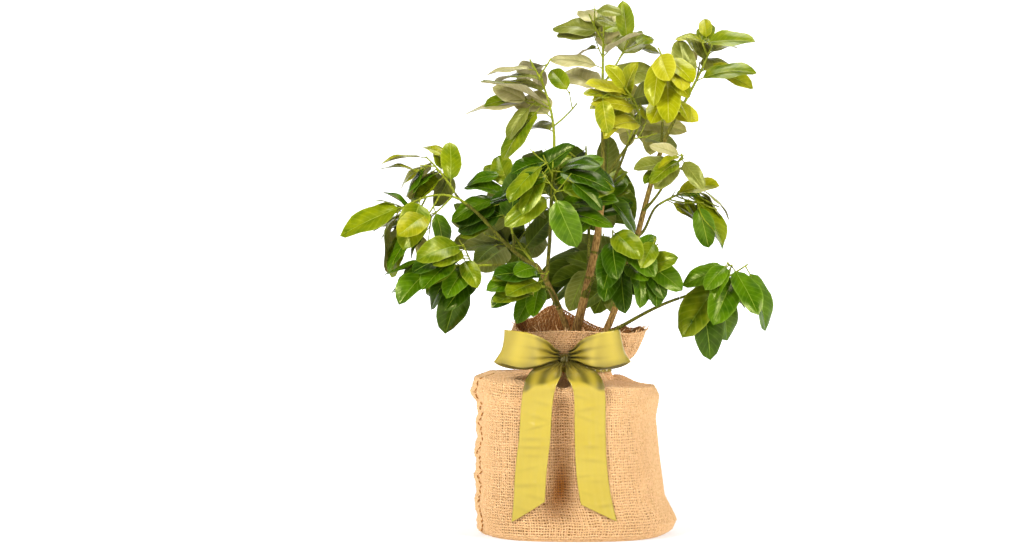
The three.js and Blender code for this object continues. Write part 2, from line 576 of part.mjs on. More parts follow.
/** The centre and normal of a blade at a share of its length. It arches away from its upper face. */
function bladeFrame(leaf, share) {
  const { foot, along, face, length, arch } = leaf;
  const angle = arch * share;
  const forward = (length * Math.sin(angle)) / arch;
  const down = (length * (1 - Math.cos(angle))) / arch;
  const middle = foot.clone().addScaledVector(along, forward).addScaledVector(face, -down);
  const normal = face.clone().multiplyScalar(Math.cos(angle)).addScaledVector(along, Math.sin(angle));
  return { middle, normal };
}

/** The left edge, middle and right edge of a blade at a share of its length. */
function bladePoints(leaf, share) {
  const { middle, normal } = bladeFrame(leaf, share);
  const wide = leaf.side.clone().multiplyScalar(halfWidth(leaf, share));
  return { left: middle.clone().add(wide), middle, right: middle.clone().sub(wide), normal };
}

/** A leaf: where its stalk leaves the twig, where it points, which way it faces, its length and its arch. */
function makeLeaf(root, along, face, length, arch) {
  const foot = root.clone().addScaledVector(along, length * LEAF.petiole);
  return { root, foot, along, face, side: face.clone().cross(along), length, arch };
}

/** The rows of left, middle and right points that a leaf is tested by, from its foot to its tip. */
function bladeRows(leaf) {
  const tip = bladeFrame(leaf, 1).middle;
  const rows = BLADE_STATIONS.map((share) => {
    const { left, middle, right } = bladePoints(leaf, share);
    return [left, middle, right];
  });
  return [[leaf.foot, leaf.foot, leaf.foot], ...rows, [tip, tip, tip]];
}

/** The flat triangles between rows of points. */
function panels(rows) {
  const found = [];
  for (let i = 0; i + 1 < rows.length; i += 1) {
    const [low, high] = [rows[i], rows[i + 1]];
    for (let j = 0; j < 2; j += 1) {
      found.push([low[j], low[j + 1], high[j + 1]], [low[j], high[j + 1], high[j]]);
    }
  }
  return found;
}

/** Whether a line of points runs through any of some triangles. */
function pierces(line, triangles) {
  const hit = at(0, 0, 0);
  return line.slice(1).some((end, i) => {
    const start = line[i];
    const reach = end.distanceTo(start);
    const ray = new THREE.Ray(start, end.clone().sub(start).normalize());
    return triangles.some(([a, b, c]) => {
      return ray.intersectTriangle(a, b, c, false, hit) && hit.distanceTo(start) < reach;
    });
  });
}

/** Whether two blades, given as their rows, run through each other. */
function bladesCross(a, b) {
  const span = (rows) => 2 * rows[2][1].distanceTo(rows[0][1]);
  if (a[2][1].distanceTo(b[2][1]) > span(a) + span(b)) return false;
  const lines = (rows) => [0, 1, 2].map((j) => rows.map((row) => row[j]));
  const cuts = (rows, others) => lines(rows).some((line) => pierces(line, panels(others)));
  return cuts(a, b) || cuts(b, a);
}

/** A leaf's solid: a stalk that swells into a flat blade with a rib along its underside. */
function leafSolid(leaf) {
  const stalk = (centre) => {
    const r = LEAF.petioleRadius;
    return [[1, 0.5], [-1, 0.5], [0, -1]].map(([side, rise]) => centre.clone()
      .addScaledVector(leaf.side, side * r)
      .addScaledVector(leaf.face, rise * r));
  };
  const blade = BLADE_STATIONS.map((share) => {
    const { left, middle, right, normal } = bladePoints(leaf, share);
    return [left, right, middle.clone().addScaledVector(normal, -LEAF.thickness * (1 - 0.4 * share))];
  });
  const joint = leaf.root.clone().addScaledVector(leaf.along, LEAF.joint);
  const tip = bladeFrame(leaf, 1).middle;
  return solidOf(skin([[leaf.root], stalk(joint), stalk(leaf.foot), ...blade, [tip]]));
}

/** A direction at an angle from `along`, turned by `bearing` round it. */
function branchOff(along, angle, bearing) {
  const side = at(0, 1, 0).projectOnPlane(along).normalize();
  const other = along.clone().cross(side);
  return along.clone().multiplyScalar(Math.cos(angle))
    .addScaledVector(side, Math.sin(angle) * Math.cos(bearing))
    .addScaledVector(other, Math.sin(angle) * Math.sin(bearing));
}

/** A twig that leaves in one direction and lifts or sags towards another. */
function twigCurve(from, direction, length, lift) {
  const knee = from.clone().addScaledVector(direction, length / 2);
  const onward = direction.clone().addScaledVector(UP, lift).normalize();
  return new THREE.QuadraticBezierCurve3(from, knee, knee.clone().addScaledVector(onward, length / 2));
}

/** Grows a mass: a stem on from its bough's tip, twigs off it, and leaves along them all. */
function growMass(mass) {
  const bough = limbs.get(mass.bough);
  const random = seeded(mass.seed);
  const vary = (spread) => (random() * 2 - 1) * spread;
  const fits = (point) => inOwnSpace(point, mass) && clearOfLimbs(point);
  const out = bough.curve.getTangent(1);
  const foot = bough.curve.getPoint(1).addScaledVector(out, PLAY);
  const knee = foot.clone().addScaledVector(out, foot.distanceTo(mass.tip) / 2);
  const stem = new THREE.QuadraticBezierCurve3(foot, knee, mass.tip);
  const twigs = [{ curve: stem, radii: [bough.radii[1], 0.9], leaves: mass.stemLeaves, from: 0.12 }];

  for (let i = 0; i < mass.twigs; i += 1) {
    const share = lerp(0.15, 0.9, (i + 0.5) / mass.twigs);
    for (let attempt = 0; attempt < TRIES; attempt += 1) {
      const bearing = i * SPIRAL + mass.seed + attempt * 0.7 + vary(0.6);
      const direction = branchOff(stem.getTangent(share), TWIG_ANGLE + vary(0.25), bearing);
      const length = mass.twigLength * (1.1 - 0.35 * share) * (1 + vary(0.2));
      const curve = twigCurve(stem.getPoint(share), direction, length, 0.5 - mass.droop);
      if ([0.45, 0.75, 1].every((s) => fits(curve.getPoint(s)))) {
        twigs.push({ curve, radii: [bough.radii[1] * 0.65, 0.8], leaves: mass.twigLeaves, from: 0.3 });
        break;
      }
    }
  }

  const leaves = [];
  const blades = [];
  const lines = [...limbLines, ...twigs.map((twig) => twig.curve.getPoints(4))];
  for (const twig of twigs) {
    for (let i = 0; i <= twig.leaves; i += 1) {
      const last = i === twig.leaves;
      const share = last ? 0.96 : lerp(twig.from, 0.94, (i + 0.5) / twig.leaves);
      for (let attempt = 0; attempt < TRIES; attempt += 1) {
        const bearing = i * SPIRAL + mass.seed * 2 + attempt * 0.9 + vary(0.5);
        const angle = last ? 0.3 + vary(0.3) : LEAF_ANGLE + vary(0.5);
        const sag = mass.droop * (0.2 + 1.6 * random());
        const along = branchOff(twig.curve.getTangent(share), angle, bearing);
        along.addScaledVector(UP, -sag).normalize();
        const turn = at(vary(0.7), mass.show * Math.sign(mass.centre.y - MIDDLE_Y) + vary(0.6), 1);
        const face = turn.projectOnPlane(along).normalize();
        const length = mass.leaf * (1 + vary(0.2) - 0.25 * (attempt / TRIES));
        const leaf = makeLeaf(twig.curve.getPoint(share), along, face, length, 0.35 + 0.5 * random());
        const rows = bladeRows(leaf);
        const clear = rows.flat().every(fits) && !blades.some((other) => bladesCross(rows, other));
        if (clear && !lines.some((line) => pierces(line, panels(rows)))) {
          leaves.push(leaf);
          blades.push(rows);
          break;
        }
      }
    }
  }
  return { twigs, leaves };
}

for (const mass of MASSES) {
  const { twigs, leaves } = growMass(mass);
  const wood = twigs.map(({ curve, radii }, i) => {
    const steps = i === 0 ? 4 : 2;
    return solidOf(skin(tubeRings(curve, steps, 3, (share) => lerp(...radii, share))));
  });
  const whole = [...wood, ...leaves.map(leafSolid)].reduce((sum, part) => sum.add(part));
  piece(mass.name, geometryOf(whole), TINTS[mass.tint], 0.45);
}

export default tree;
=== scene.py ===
"""Dresses the potted Persian lime tree: a burlap sack, a satin bow, bark, and a leafy crown.

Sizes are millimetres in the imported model's frame, and `Shape` turns them into metres.
"""

import json
import logging
import math
from collections.abc import Callable, Sequence
from dataclasses import dataclass, field, replace
from enum import Enum

import bpy
import numpy as np
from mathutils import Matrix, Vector, noise

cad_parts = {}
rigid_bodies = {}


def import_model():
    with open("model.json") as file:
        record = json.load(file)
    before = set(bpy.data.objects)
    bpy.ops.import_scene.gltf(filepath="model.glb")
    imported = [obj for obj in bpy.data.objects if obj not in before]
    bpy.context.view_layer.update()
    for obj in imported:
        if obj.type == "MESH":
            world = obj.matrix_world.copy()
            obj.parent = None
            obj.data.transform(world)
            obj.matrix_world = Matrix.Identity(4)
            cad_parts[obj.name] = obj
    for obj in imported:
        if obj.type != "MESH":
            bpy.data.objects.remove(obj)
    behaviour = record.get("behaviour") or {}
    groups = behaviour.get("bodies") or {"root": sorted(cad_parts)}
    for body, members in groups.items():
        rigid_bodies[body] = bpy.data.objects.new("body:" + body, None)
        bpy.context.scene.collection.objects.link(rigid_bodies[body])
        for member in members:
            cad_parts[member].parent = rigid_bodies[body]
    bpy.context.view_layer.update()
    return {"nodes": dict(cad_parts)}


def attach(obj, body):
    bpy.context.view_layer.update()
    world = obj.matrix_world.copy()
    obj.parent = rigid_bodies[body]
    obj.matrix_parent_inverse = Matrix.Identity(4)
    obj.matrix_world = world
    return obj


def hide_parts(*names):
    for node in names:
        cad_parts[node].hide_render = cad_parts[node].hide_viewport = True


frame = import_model()
LOG = logging.getLogger("lime_tree")

MM = 0.001
UP = np.array([0.0, 0.0, 1.0])
MODULUS, MULTIPLIER, SEED_STRIDE = 2147483647, 48271, 7919
Socket = bpy.types.NodeSocket
Material = bpy.types.Material
Object = bpy.types.Object


# Small helpers

def vec(*values: float) -> np.ndarray:
    """A point or direction."""
    return np.array(values, float)


def lerp(low: float, high: float, share: float) -> float:
    """The value at a share of the way from one value to another."""
    return low + (high - low) * share


def unit(direction: np.ndarray) -> np.ndarray:
    """A direction at length 1."""
    return direction / np.linalg.norm(direction)


def flatten(direction: np.ndarray, along: np.ndarray) -> np.ndarray:
    """The part of a direction that is square to another."""
    return direction - along * direction.dot(along)


def smoothstep(value: np.ndarray | float, low: float, high: float) -> np.ndarray | float:
    """A smooth rise from 0 at `low` to 1 at `high`."""
    share = np.clip((value - low) / (high - low), 0, 1)
    return share * share * (3 - 2 * share)


def distances(line: np.ndarray) -> np.ndarray:
    """How far along a line each of its points is."""
    return np.concatenate([[0], np.cumsum(np.linalg.norm(np.diff(line, axis=0), axis=1))])


def circle(count: int) -> list[float]:
    """Angles at equal steps round a circle."""
    return [2 * math.pi * i / count for i in range(count)]


def seeded(seed: int) -> Callable[[], float]:
    """The minimal standard generator: numbers from 0 to 1, the same on every machine.

    Args:
        seed: Any whole number above 0.

    Returns:
        A function that gives the next number.
    """
    state = (seed * SEED_STRIDE) % MODULUS

    def step() -> float:
        """The next number."""
        nonlocal state
        state = (state * MULTIPLIER) % MODULUS
        return state / MODULUS

    return step


def put(name: str, data: bpy.types.ID) -> Object:
    """Makes an object and puts it in the scene.

    Args:
        name: The object's name.
        data: Its mesh, light or camera.

    Returns:
        The object.
    """
    thing = bpy.data.objects.new(name, data)
    bpy.context.scene.collection.objects.link(thing)
    return thing


def evaluated(thing: Object) -> bpy.types.Mesh:
    """A plain mesh of what an object's modifiers make of it."""
    depsgraph = bpy.context.evaluated_depsgraph_get()
    return bpy.data.meshes.new_from_object(thing.evaluated_get(depsgraph), depsgraph=depsgraph)


# Node trees

@dataclass(frozen=True)
class Term:
    """A number or vector that a node tree works out, so that sums read as sums."""

    wiring: "Wiring"
    socket: Socket

    def __add__(self, other: "Term | float") -> "Term":
        """The sum."""
        return self.wiring.sum("ADD", self, other)

    def __sub__(self, other: "Term | float") -> "Term":
        """The difference."""
        return self.wiring.sum("SUBTRACT", self, other)

    def __mul__(self, other: "Term | float") -> "Term":
        """The product."""
        return self.wiring.sum("MULTIPLY", self, other)

    def __truediv__(self, other: "Term | float") -> "Term":
        """The quotient."""
        return self.wiring.sum("DIVIDE", self, other)

    def __pow__(self, other: float) -> "Term":
        """The power."""
        return self.wiring.sum("POWER", self, other)

    def __neg__(self) -> "Term":
        """The value with its sign turned."""
        return self * -1.0

    def __lt__(self, other: "Term | float") -> "Term":
        """1 where the value is less."""
        return self.wiring.sum("LESS_THAN", self, other)

    def sin(self) -> "Term":
        """The sine."""
        return self.wiring.sum("SINE", self)

    def cos(self) -> "Term":
        """The cosine."""
        return self.wiring.sum("COSINE", self)

    def size(self) -> "Term":
        """The value without its sign."""
        return self.wiring.sum("ABSOLUTE", self)

    def sign(self) -> "Term":
        """-1, 0 or 1."""
        return self.wiring.sum("SIGN", self)

    def exp(self) -> "Term":
        """The number e to this power."""
        return self.wiring.sum("EXPONENT", self)

    def times(self, number: "Term | float") -> "Term":
        """A vector scaled by a number."""
        return self.wiring.vector("SCALE", self, scale=number)

    def plus(self, other: "Term") -> "Term":
        """The sum of two vectors."""
        return self.wiring.vector("ADD", self, other)


class Wiring:
    """Adds nodes to a tree and links them by their sockets."""

    def __init__(self, tree: bpy.types.NodeTree) -> None:
        """Starts on a tree."""
        self.tree = tree

    def add(self, kind: str, inputs: dict | None = None, **settings: object) -> bpy.types.Node:
        """Adds one node.

        Args:
            kind: The node's type.
            inputs: What goes into its sockets, by name or number: a value, a socket or a term.
            **settings: The node's own settings.

        Returns:
            The node.
        """
        node = self.tree.nodes.new(kind)
        for name, value in settings.items():
            setattr(node, name, value)
        for key, value in (inputs or {}).items():
            self.feed(node.inputs[key], value)
        return node

    def feed(self, socket: Socket, value: object) -> None:
        """Sets or links one socket.

        Args:
            socket: The socket.
            value: What goes into it: a value, a socket or a term.
        """
        value = value.socket if isinstance(value, Term) else value
        if isinstance(value, Socket):
            self.tree.links.new(value, socket)
        else:
            socket.default_value = value

    def term(self, node: bpy.types.Node, output: str | int = 0) -> Term:
        """One of a node's outputs as a term."""
        return Term(self, node.outputs[output])

    def set_shader(self, inputs: dict) -> None:
        """Feeds the inputs of a new material's own shader, by name."""
        for label, value in inputs.items():
            self.feed(self.tree.nodes["Principled BSDF"].inputs[label], value)

    def mark(self, name: str) -> Term:
        """A number that the mesh keeps under a name, in a material."""
        return self.term(self.add("ShaderNodeAttribute", attribute_name=name), "Fac")

    def layout(self) -> tuple[Term, Term]:
        """The two numbers of the piece's own UV map, in a material."""
        parts = self.add("ShaderNodeSeparateXYZ", {0: self.add("ShaderNodeUVMap").outputs[0]})
        return self.term(parts, "X"), self.term(parts, "Y")

    def sum(self, operation: str, *values: "Term | float") -> Term:
        """A sum with one or two numbers."""
        return self.term(self.add("ShaderNodeMath", dict(enumerate(values)), operation=operation))

    def vector(self, operation: str, *values: Term | tuple, scale: "Term | float | None" = None) -> Term:
        """A sum with vectors.

        Args:
            operation: Which sum.
            *values: The vectors.
            scale: What the vector is scaled by, where the sum is a scaling.

        Returns:
            The result, a number for a dot product and a vector otherwise.
        """
        node = self.add("ShaderNodeVectorMath", dict(enumerate(values)), operation=operation)
        if scale is not None:
            self.feed(node.inputs["Scale"], scale)
        return self.term(node, "Value" if operation == "DOT_PRODUCT" else "Vector")


class GeometryTree(Wiring):
    """A Geometry Nodes tree with named inputs that ends in Realize Instances and Set Material."""

    def __init__(self, name: str, sizes: dict[str, float | int | Material]) -> None:
        """Makes the tree's inputs.

        Args:
            name: The tree's name.
            sizes: The inputs by name, with the value that each gets on the modifier.
        """
        super().__init__(bpy.data.node_groups.new(name, "GeometryNodeTree"))
        sockets = {int: "NodeSocketInt", float: "NodeSocketFloat", Material: "NodeSocketMaterial"}
        face = self.tree.interface
        face.new_socket("Geometry", in_out="INPUT", socket_type="NodeSocketGeometry")
        self.sizes = sizes
        for label, value in sizes.items():
            face.new_socket(label, in_out="INPUT", socket_type=sockets[type(value)])
        face.new_socket("Geometry", in_out="OUTPUT", socket_type="NodeSocketGeometry")
        self.start = self.add("NodeGroupInput")
        self.end = self.add("NodeGroupOutput")

    def size(self, label: str) -> Term:
        """One of the tree's inputs."""
        return self.term(self.start, label)

    def named(self, label: str, kind: str = "FLOAT") -> Term:
        """An attribute of the mesh by its name."""
        node = self.add("GeometryNodeInputNamedAttribute", {"Name": label}, data_type=kind)
        return self.term(node, "Attribute")

    def store(self, geometry: Socket, label: str, value: Term | float, kind: str = "FLOAT",
              domain: str = "POINT") -> Socket:
        """Keeps a value on the mesh under a name.

        Args:
            geometry: The mesh.
            label: The name.
            value: What each place keeps.
            kind: The value's type.
            domain: Whether points, faces, edges or corners keep it.

        Returns:
            The mesh that keeps it.
        """
        node = self.add("GeometryNodeStoreNamedAttribute", {"Geometry": geometry, "Name": label},
                        data_type=kind, domain=domain)
        self.feed(node.inputs["Value"], value)
        return node.outputs[0]

    def paint(self, geometry: Socket, material: Socket, where: Term | None = None) -> Socket:
        """Gives faces a material.

        Args:
            geometry: The mesh.
            material: The material.
            where: 1 on the faces that get it, or nothing for all of them.

        Returns:
            The painted mesh.
        """
        node = self.add("GeometryNodeSetMaterial", {"Geometry": geometry, "Material": material})
        if where is not None:
            self.feed(node.inputs["Selection"], where)
        return node.outputs[0]

    def tube(self) -> Socket:
        """Tubes with `Sides` sides on the start's lines, as thick as the lines' points say.

        Returns:
            The closed tubes.
        """
        line = self.add("GeometryNodeMeshToCurve", {"Mesh": self.start.outputs[0]})
        ring = self.add("GeometryNodeCurvePrimitiveCircle", {"Resolution": self.size("Sides"), "Radius": MM})
        return self.add("GeometryNodeCurveToMesh", {
            "Curve": line.outputs[0], "Profile Curve": ring.outputs[0], "Scale": self.named("thick"),
            "Fill Caps": True}).outputs[0]

    def finish(self, geometry: Socket, material: str) -> None:
        """Ends the tree: the instances become mesh and take the material.

        Args:
            geometry: What the tree has made.
            material: Which of its inputs is the material.
        """
        real = self.add("GeometryNodeRealizeInstances", {0: geometry})
        smooth = self.add("GeometryNodeSetShadeSmooth", {0: real.outputs[0]})
        self.feed(self.end.inputs[0], self.paint(smooth.outputs[0], self.size(material).socket))

    def grow(self, base: Object, name: str) -> Object:
        """Runs the tree on a mesh and keeps the result as a plain mesh.

        Args:
            base: The object whose mesh the tree starts from. It is removed.
            name: The new piece's name.

        Returns:
            The new object, with no modifier.
        """
        modifier = base.modifiers.new(name, "NODES")
        modifier.node_group = self.tree
        for item in self.tree.interface.items_tree:
            if item.in_out == "INPUT" and item.name in self.sizes:
                modifier[item.identifier] = self.sizes[item.name]
        mesh = evaluated(base)
        mesh.name = name
        bpy.data.objects.remove(base)
        return put(name, mesh)


# Finishes

Colour = tuple[float, float, float]
MIX_A, MIX_B, MIX_RESULT = 6, 7, 2  # the colour sockets of a Mix node
BUMP_DEPTH = 0.5 * MM


def srgb(*channels: int) -> tuple[float, ...]:
    """A colour as the eye reads it, turned into the light that a shader works in.

    Args:
        *channels: Red, green and blue, from 0 to 255.

    Returns:
        The light's red, green and blue, and 1 for opaque.
    """
    shares = [channel / 255 for channel in channels]
    light = [share / 12.92 if share <= 0.04045 else ((share + 0.055) / 1.055) ** 2.4 for share in shares]
    return (*light, 1.0)


@dataclass(frozen=True)
class Finish:
    """A surface: two shades that a fine grain mixes, its gloss and its relief.

    `grain` is how many millimetres a patch of either shade is wide, and `contrast` how sharply they part.
    """

    name: str
    light: Colour
    dark: Colour
    grain: float = 6.0
    contrast: float = 2.2
    roughness: float = 0.6
    relief: float = 0.1
    relief_grain: float = 1.5
    sheen: float = 0.0
    specular: float = 0.5
    stretch: Colour = (1.0, 1.0, 1.0)
    gloss_tint: Colour = (1.0, 1.0, 1.0)

    def material(self) -> Material:
        """Builds the node-based material, once.

        Returns:
            The material.
        """
        if self.name in bpy.data.materials:
            return bpy.data.materials[self.name]
        material = bpy.data.materials.new(self.name)
        material.use_nodes = True
        material.diffuse_color = srgb(*self.light)
        wiring = Wiring(material.node_tree)
        place = self.place(wiring)
        wiring.set_shader({
            "Roughness": self.roughness, "Sheen Weight": self.sheen, "Specular IOR Level": self.specular,
            "Specular Tint": (*self.gloss_tint, 1.0), "Base Color": self.colour(wiring, place),
            "Normal": self.bump(wiring, place)})
        return material

    def place(self, wiring: Wiring) -> Term:
        """Where the pattern is read: the object's own coordinates."""
        source = wiring.add("ShaderNodeTexCoord").outputs["Object"]
        return wiring.term(wiring.add("ShaderNodeMapping", {"Vector": source, "Scale": self.stretch}))

    def mottle(self, wiring: Wiring, place: Term, grain: float, detail: float = 3.0) -> Term:
        """Noise with patches of a width in millimetres."""
        sockets = {"Vector": place, "Scale": 1 / (grain * MM), "Detail": detail}
        return wiring.term(wiring.add("ShaderNodeTexNoise", sockets), "Fac")

    def blend(self, wiring: Wiring, share: Term, low: object, high: object) -> Term:
        """A mix of two colours."""
        sockets = {0: share, MIX_A: low, MIX_B: high}
        return wiring.term(wiring.add("ShaderNodeMix", sockets, data_type="RGBA"), MIX_RESULT)

    def patches(self, wiring: Wiring, place: Term) -> Term:
        """How far each place is from the dark shade to the light one."""
        share = (self.mottle(wiring, place, self.grain) - 0.5) * self.contrast + 0.5
        return wiring.term(wiring.add("ShaderNodeClamp", {"Value": share}))

    def colour(self, wiring: Wiring, place: Term) -> Term:
        """The colour, mottled between the two shades."""
        return self.blend(wiring, self.patches(wiring, place), srgb(*self.dark), srgb(*self.light))

    def height(self, wiring: Wiring, place: Term) -> Term:
        """The relief's height."""
        return self.mottle(wiring, place, self.relief_grain, 4.0)

    def bump(self, wiring: Wiring, place: Term) -> Term:
        """The relief as a bent normal."""
        sockets = {"Height": self.height(wiring, place), "Strength": self.relief, "Distance": BUMP_DEPTH}
        return wiring.term(wiring.add("ShaderNodeBump", sockets))


@dataclass(frozen=True)
class Jute(Finish):
    """Jute yarn, with shade painted into its colour where the mesh's own `shade` says so."""

    # The colour that the painted shade draws the yarn towards
    deep: Colour = (136, 80, 20)

    def colour(self, wiring: Wiring, place: Term) -> Term:
        """The mottled colour, drawn towards the deep colour by the painted shade."""
        return self.blend(wiring, wiring.mark("shade"), super().colour(wiring, place), srgb(*self.deep))


@dataclass(frozen=True)
class Satin(Finish):
    """Satin ribbon: a smooth sheen over fine ribs, with shade and highlights painted into its colour where the
    mesh says so.
    """

    rib: float = 0.8
    rib_height: float = 0.04
    # The colour of the painted shade
    painted_shade_colour: Colour = (70, 63, 9)

    def colour(self, wiring: Wiring, place: Term) -> Term:
        """The even colour, darkened by the shade painted in the mesh's own mark."""
        return self.blend(wiring, wiring.mark("painted_shade"), super().colour(wiring, place), srgb(*self.painted_shade_colour))

    def height(self, wiring: Wiring, place: Term) -> Term:
        """Ribs along the strip's own length, with a trace of creases."""
        ribs = (wiring.layout()[0] * (2 * math.pi / (self.rib * MM))).sin() * self.rib_height
        return ribs + self.mottle(wiring, place, self.relief_grain, 2.0)


@dataclass(frozen=True)
class Blade(Finish):
    """A leaf's face: paler veins that run from the midrib to the edge, raised or sunk by the relief.

    `vein_lean` is how far along the blade a vein runs on its way to the edge. The fields after it say how
    much paler the veins and the edge are, and how fine they show.
    """

    veins: float = 9.0
    vein_lean: float = 0.22
    paler: int = 60
    vein_shade: float = 0.25
    vein_fineness: float = 9.0
    margin: float = 0.4
    margin_fineness: float = 14.0

    def spot(self, wiring: Wiring) -> tuple[Term, Term]:
        """How far along the blade a place is, and how far out from the midrib, each from 0 to 1."""
        along, across = wiring.layout()
        return along, (across * 2.0 - 1.0).size()

    def vein(self, wiring: Wiring) -> Term:
        """The side veins, read from the blade's own UV map.

        Args:
            wiring: The material's nodes.

        Returns:
            1 on a vein and 0 between them.
        """
        along, aside = self.spot(wiring)
        wave = ((along - aside * self.vein_lean) * (2 * math.pi * self.veins)).cos()
        return ((wave + 1.0) * 0.5) ** self.vein_fineness

    def colour(self, wiring: Wiring, place: Term) -> Term:
        """The mottled colour, a little lighter on the veins and along the edge.

        Args:
            wiring: The material's nodes.
            place: Where the pattern is read.

        Returns:
            The colour.
        """
        ground = super().colour(wiring, place)
        edge = self.spot(wiring)[1] ** self.margin_fineness
        tint = self.vein(wiring) * self.vein_shade + edge * self.margin
        return self.blend(wiring, tint, ground, srgb(*[min(255, c + self.paler) for c in self.light]))

    def height(self, wiring: Wiring, place: Term) -> Term:
        """Fine grain and the side veins."""
        return self.mottle(wiring, place, self.relief_grain, 3.0) * 0.5 - self.vein(wiring) * 0.5


@dataclass(frozen=True)
class Bark(Finish):
    """Bark that is green on young wood and tan and fissured on old wood, by the mesh's own `age`."""

    contrast: float = 3.0
    young_light: Colour = (118, 118, 34)
    young_dark: Colour = (66, 66, 18)

    def colour(self, wiring: Wiring, place: Term) -> Term:
        """Old and young colours, mixed by age.

        Args:
            wiring: The material's nodes.
            place: Where the pattern is read.

        Returns:
            The colour.
        """
        old, share = super().colour(wiring, place), self.patches(wiring, place)
        young = self.blend(wiring, share, srgb(*self.young_dark), srgb(*self.young_light))
        return self.blend(wiring, wiring.mark("age"), young, old)


BURLAP = Jute("burlap_yarn", (248, 206, 155), (219, 172, 115), grain=2.5, roughness=0.92, relief=0.5,
              relief_grain=0.5, sheen=0.12, specular=0.1)
# A darker ply behind the weave: its colour paints the shade seen through the gaps, its deep colour the painted
# shade
SHADE_PLY = Jute("burlap_shade", (188, 132, 74), (150, 98, 50), grain=4, roughness=0.95, relief=0.6,
               relief_grain=1.2, specular=0.1, deep=(96, 60, 28))
THREAD = Finish("seam_thread", (202, 138, 66), (152, 96, 42), grain=2, roughness=0.9, relief=0.4,
                relief_grain=0.5, specular=0.15)
RIBBON = Satin("satin_ribbon", (194, 171, 55), (188, 164, 48), grain=26, roughness=0.3, relief=0.3,
               relief_grain=9, sheen=0.05, specular=0.6)
BARK = Bark("limb_bark", (190, 148, 84), (112, 82, 40), grain=1.3, roughness=0.8, relief=0.7,
            relief_grain=0.8, specular=0.15, stretch=(1.0, 1.0, 0.24))
TWIG = Bark("twig_bark", (120, 108, 40), (80, 70, 24), grain=2.5, roughness=0.6, relief=0.3,
            relief_grain=0.8, specular=0.2, young_light=(152, 158, 34), young_dark=(106, 118, 18))
BUD = Finish("axil_bud", (170, 170, 40), (120, 130, 24), grain=1, roughness=0.6, relief=0.2)
SOIL = Finish("potting_mix", (82, 62, 46), (36, 26, 19), grain=3, roughness=1.0, relief=1.0,
              relief_grain=1.2, specular=0.1)
SOIL_CHIP = Finish("bark_chip", (110, 80, 54), (58, 40, 28), grain=2, roughness=0.95, relief=0.6,
                   relief_grain=0.8, specular=0.15)
PERLITE = Finish("perlite", (226, 222, 212), (196, 190, 178), grain=1.5, roughness=0.9, relief=0.5)
PLASTIC = Finish("pot_plastic", (34, 34, 36), (24, 24, 26), grain=12, roughness=0.55, relief=0.15,
                 relief_grain=1.0, specular=0.4)


def leaf_top(name: str, light: Colour, dark: Colour) -> Blade:
    """The glossy upper face of a leaf."""
    return Blade(name, light, dark, grain=13, roughness=0.25, relief=0.2, relief_grain=3.0, specular=0.36,
                 gloss_tint=(1.0, 1.0, 0.38), vein_shade=0.12)


def leaf_back(name: str, light: Colour, dark: Colour) -> Blade:
    """The paler, duller underside of a leaf."""
    return Blade(name, light, dark, grain=14, roughness=0.55, relief=0.35, relief_grain=2.0, specular=0.15,
                 gloss_tint=(1.0, 1.0, 0.4), vein_shade=0.12)


def leaf_rib(name: str, light: Colour, dark: Colour) -> Finish:
    """The pale midrib of a leaf."""
    return Finish(name, light, dark, grain=8, roughness=0.4, specular=0.2)


class Tint(Enum):
    """How old a mass's leaves are."""

    MATURE = "mature"
    DUSKY = "dusky"
    BRIGHT = "bright"
    OLIVE = "olive"
    YOUNG = "young"
    RIPENING = "ripening"


@dataclass(frozen=True)
class Palette:
    """The finishes that one tint's sprays are dealt from."""

    slot: str
    tops: tuple[Finish, ...]
    backs: tuple[Finish, ...]
    rib: Finish


TOP_GREEN = leaf_top("leaf_top_green", (84, 117, 2), (46, 80, 0))
TOP_OLIVE = leaf_top("leaf_top_olive", (124, 134, 12), (68, 94, 2))
TOP_DUSKY = leaf_top("leaf_top_dusky", (130, 132, 56), (92, 102, 24))
TOP_SAGE = leaf_top("leaf_top_sage", (184, 174, 120), (148, 144, 86))
TOP_LIGHT = leaf_top("leaf_top_light", (160, 156, 18), (98, 114, 4))
BACK_GREY = leaf_back("leaf_back_grey", (120, 122, 54), (78, 90, 24))
BACK_DUSKY = leaf_back("leaf_back_dusky", (190, 178, 138), (160, 150, 106))
OLIVE_PALETTE = Palette(
    "leaf_bright", (TOP_OLIVE, TOP_DUSKY, TOP_LIGHT, TOP_SAGE),
    (leaf_back("leaf_back_tan", (180, 168, 100), (146, 138, 66)), BACK_DUSKY),
    leaf_rib("leaf_rib_olive", (156, 158, 64), (128, 134, 38)))
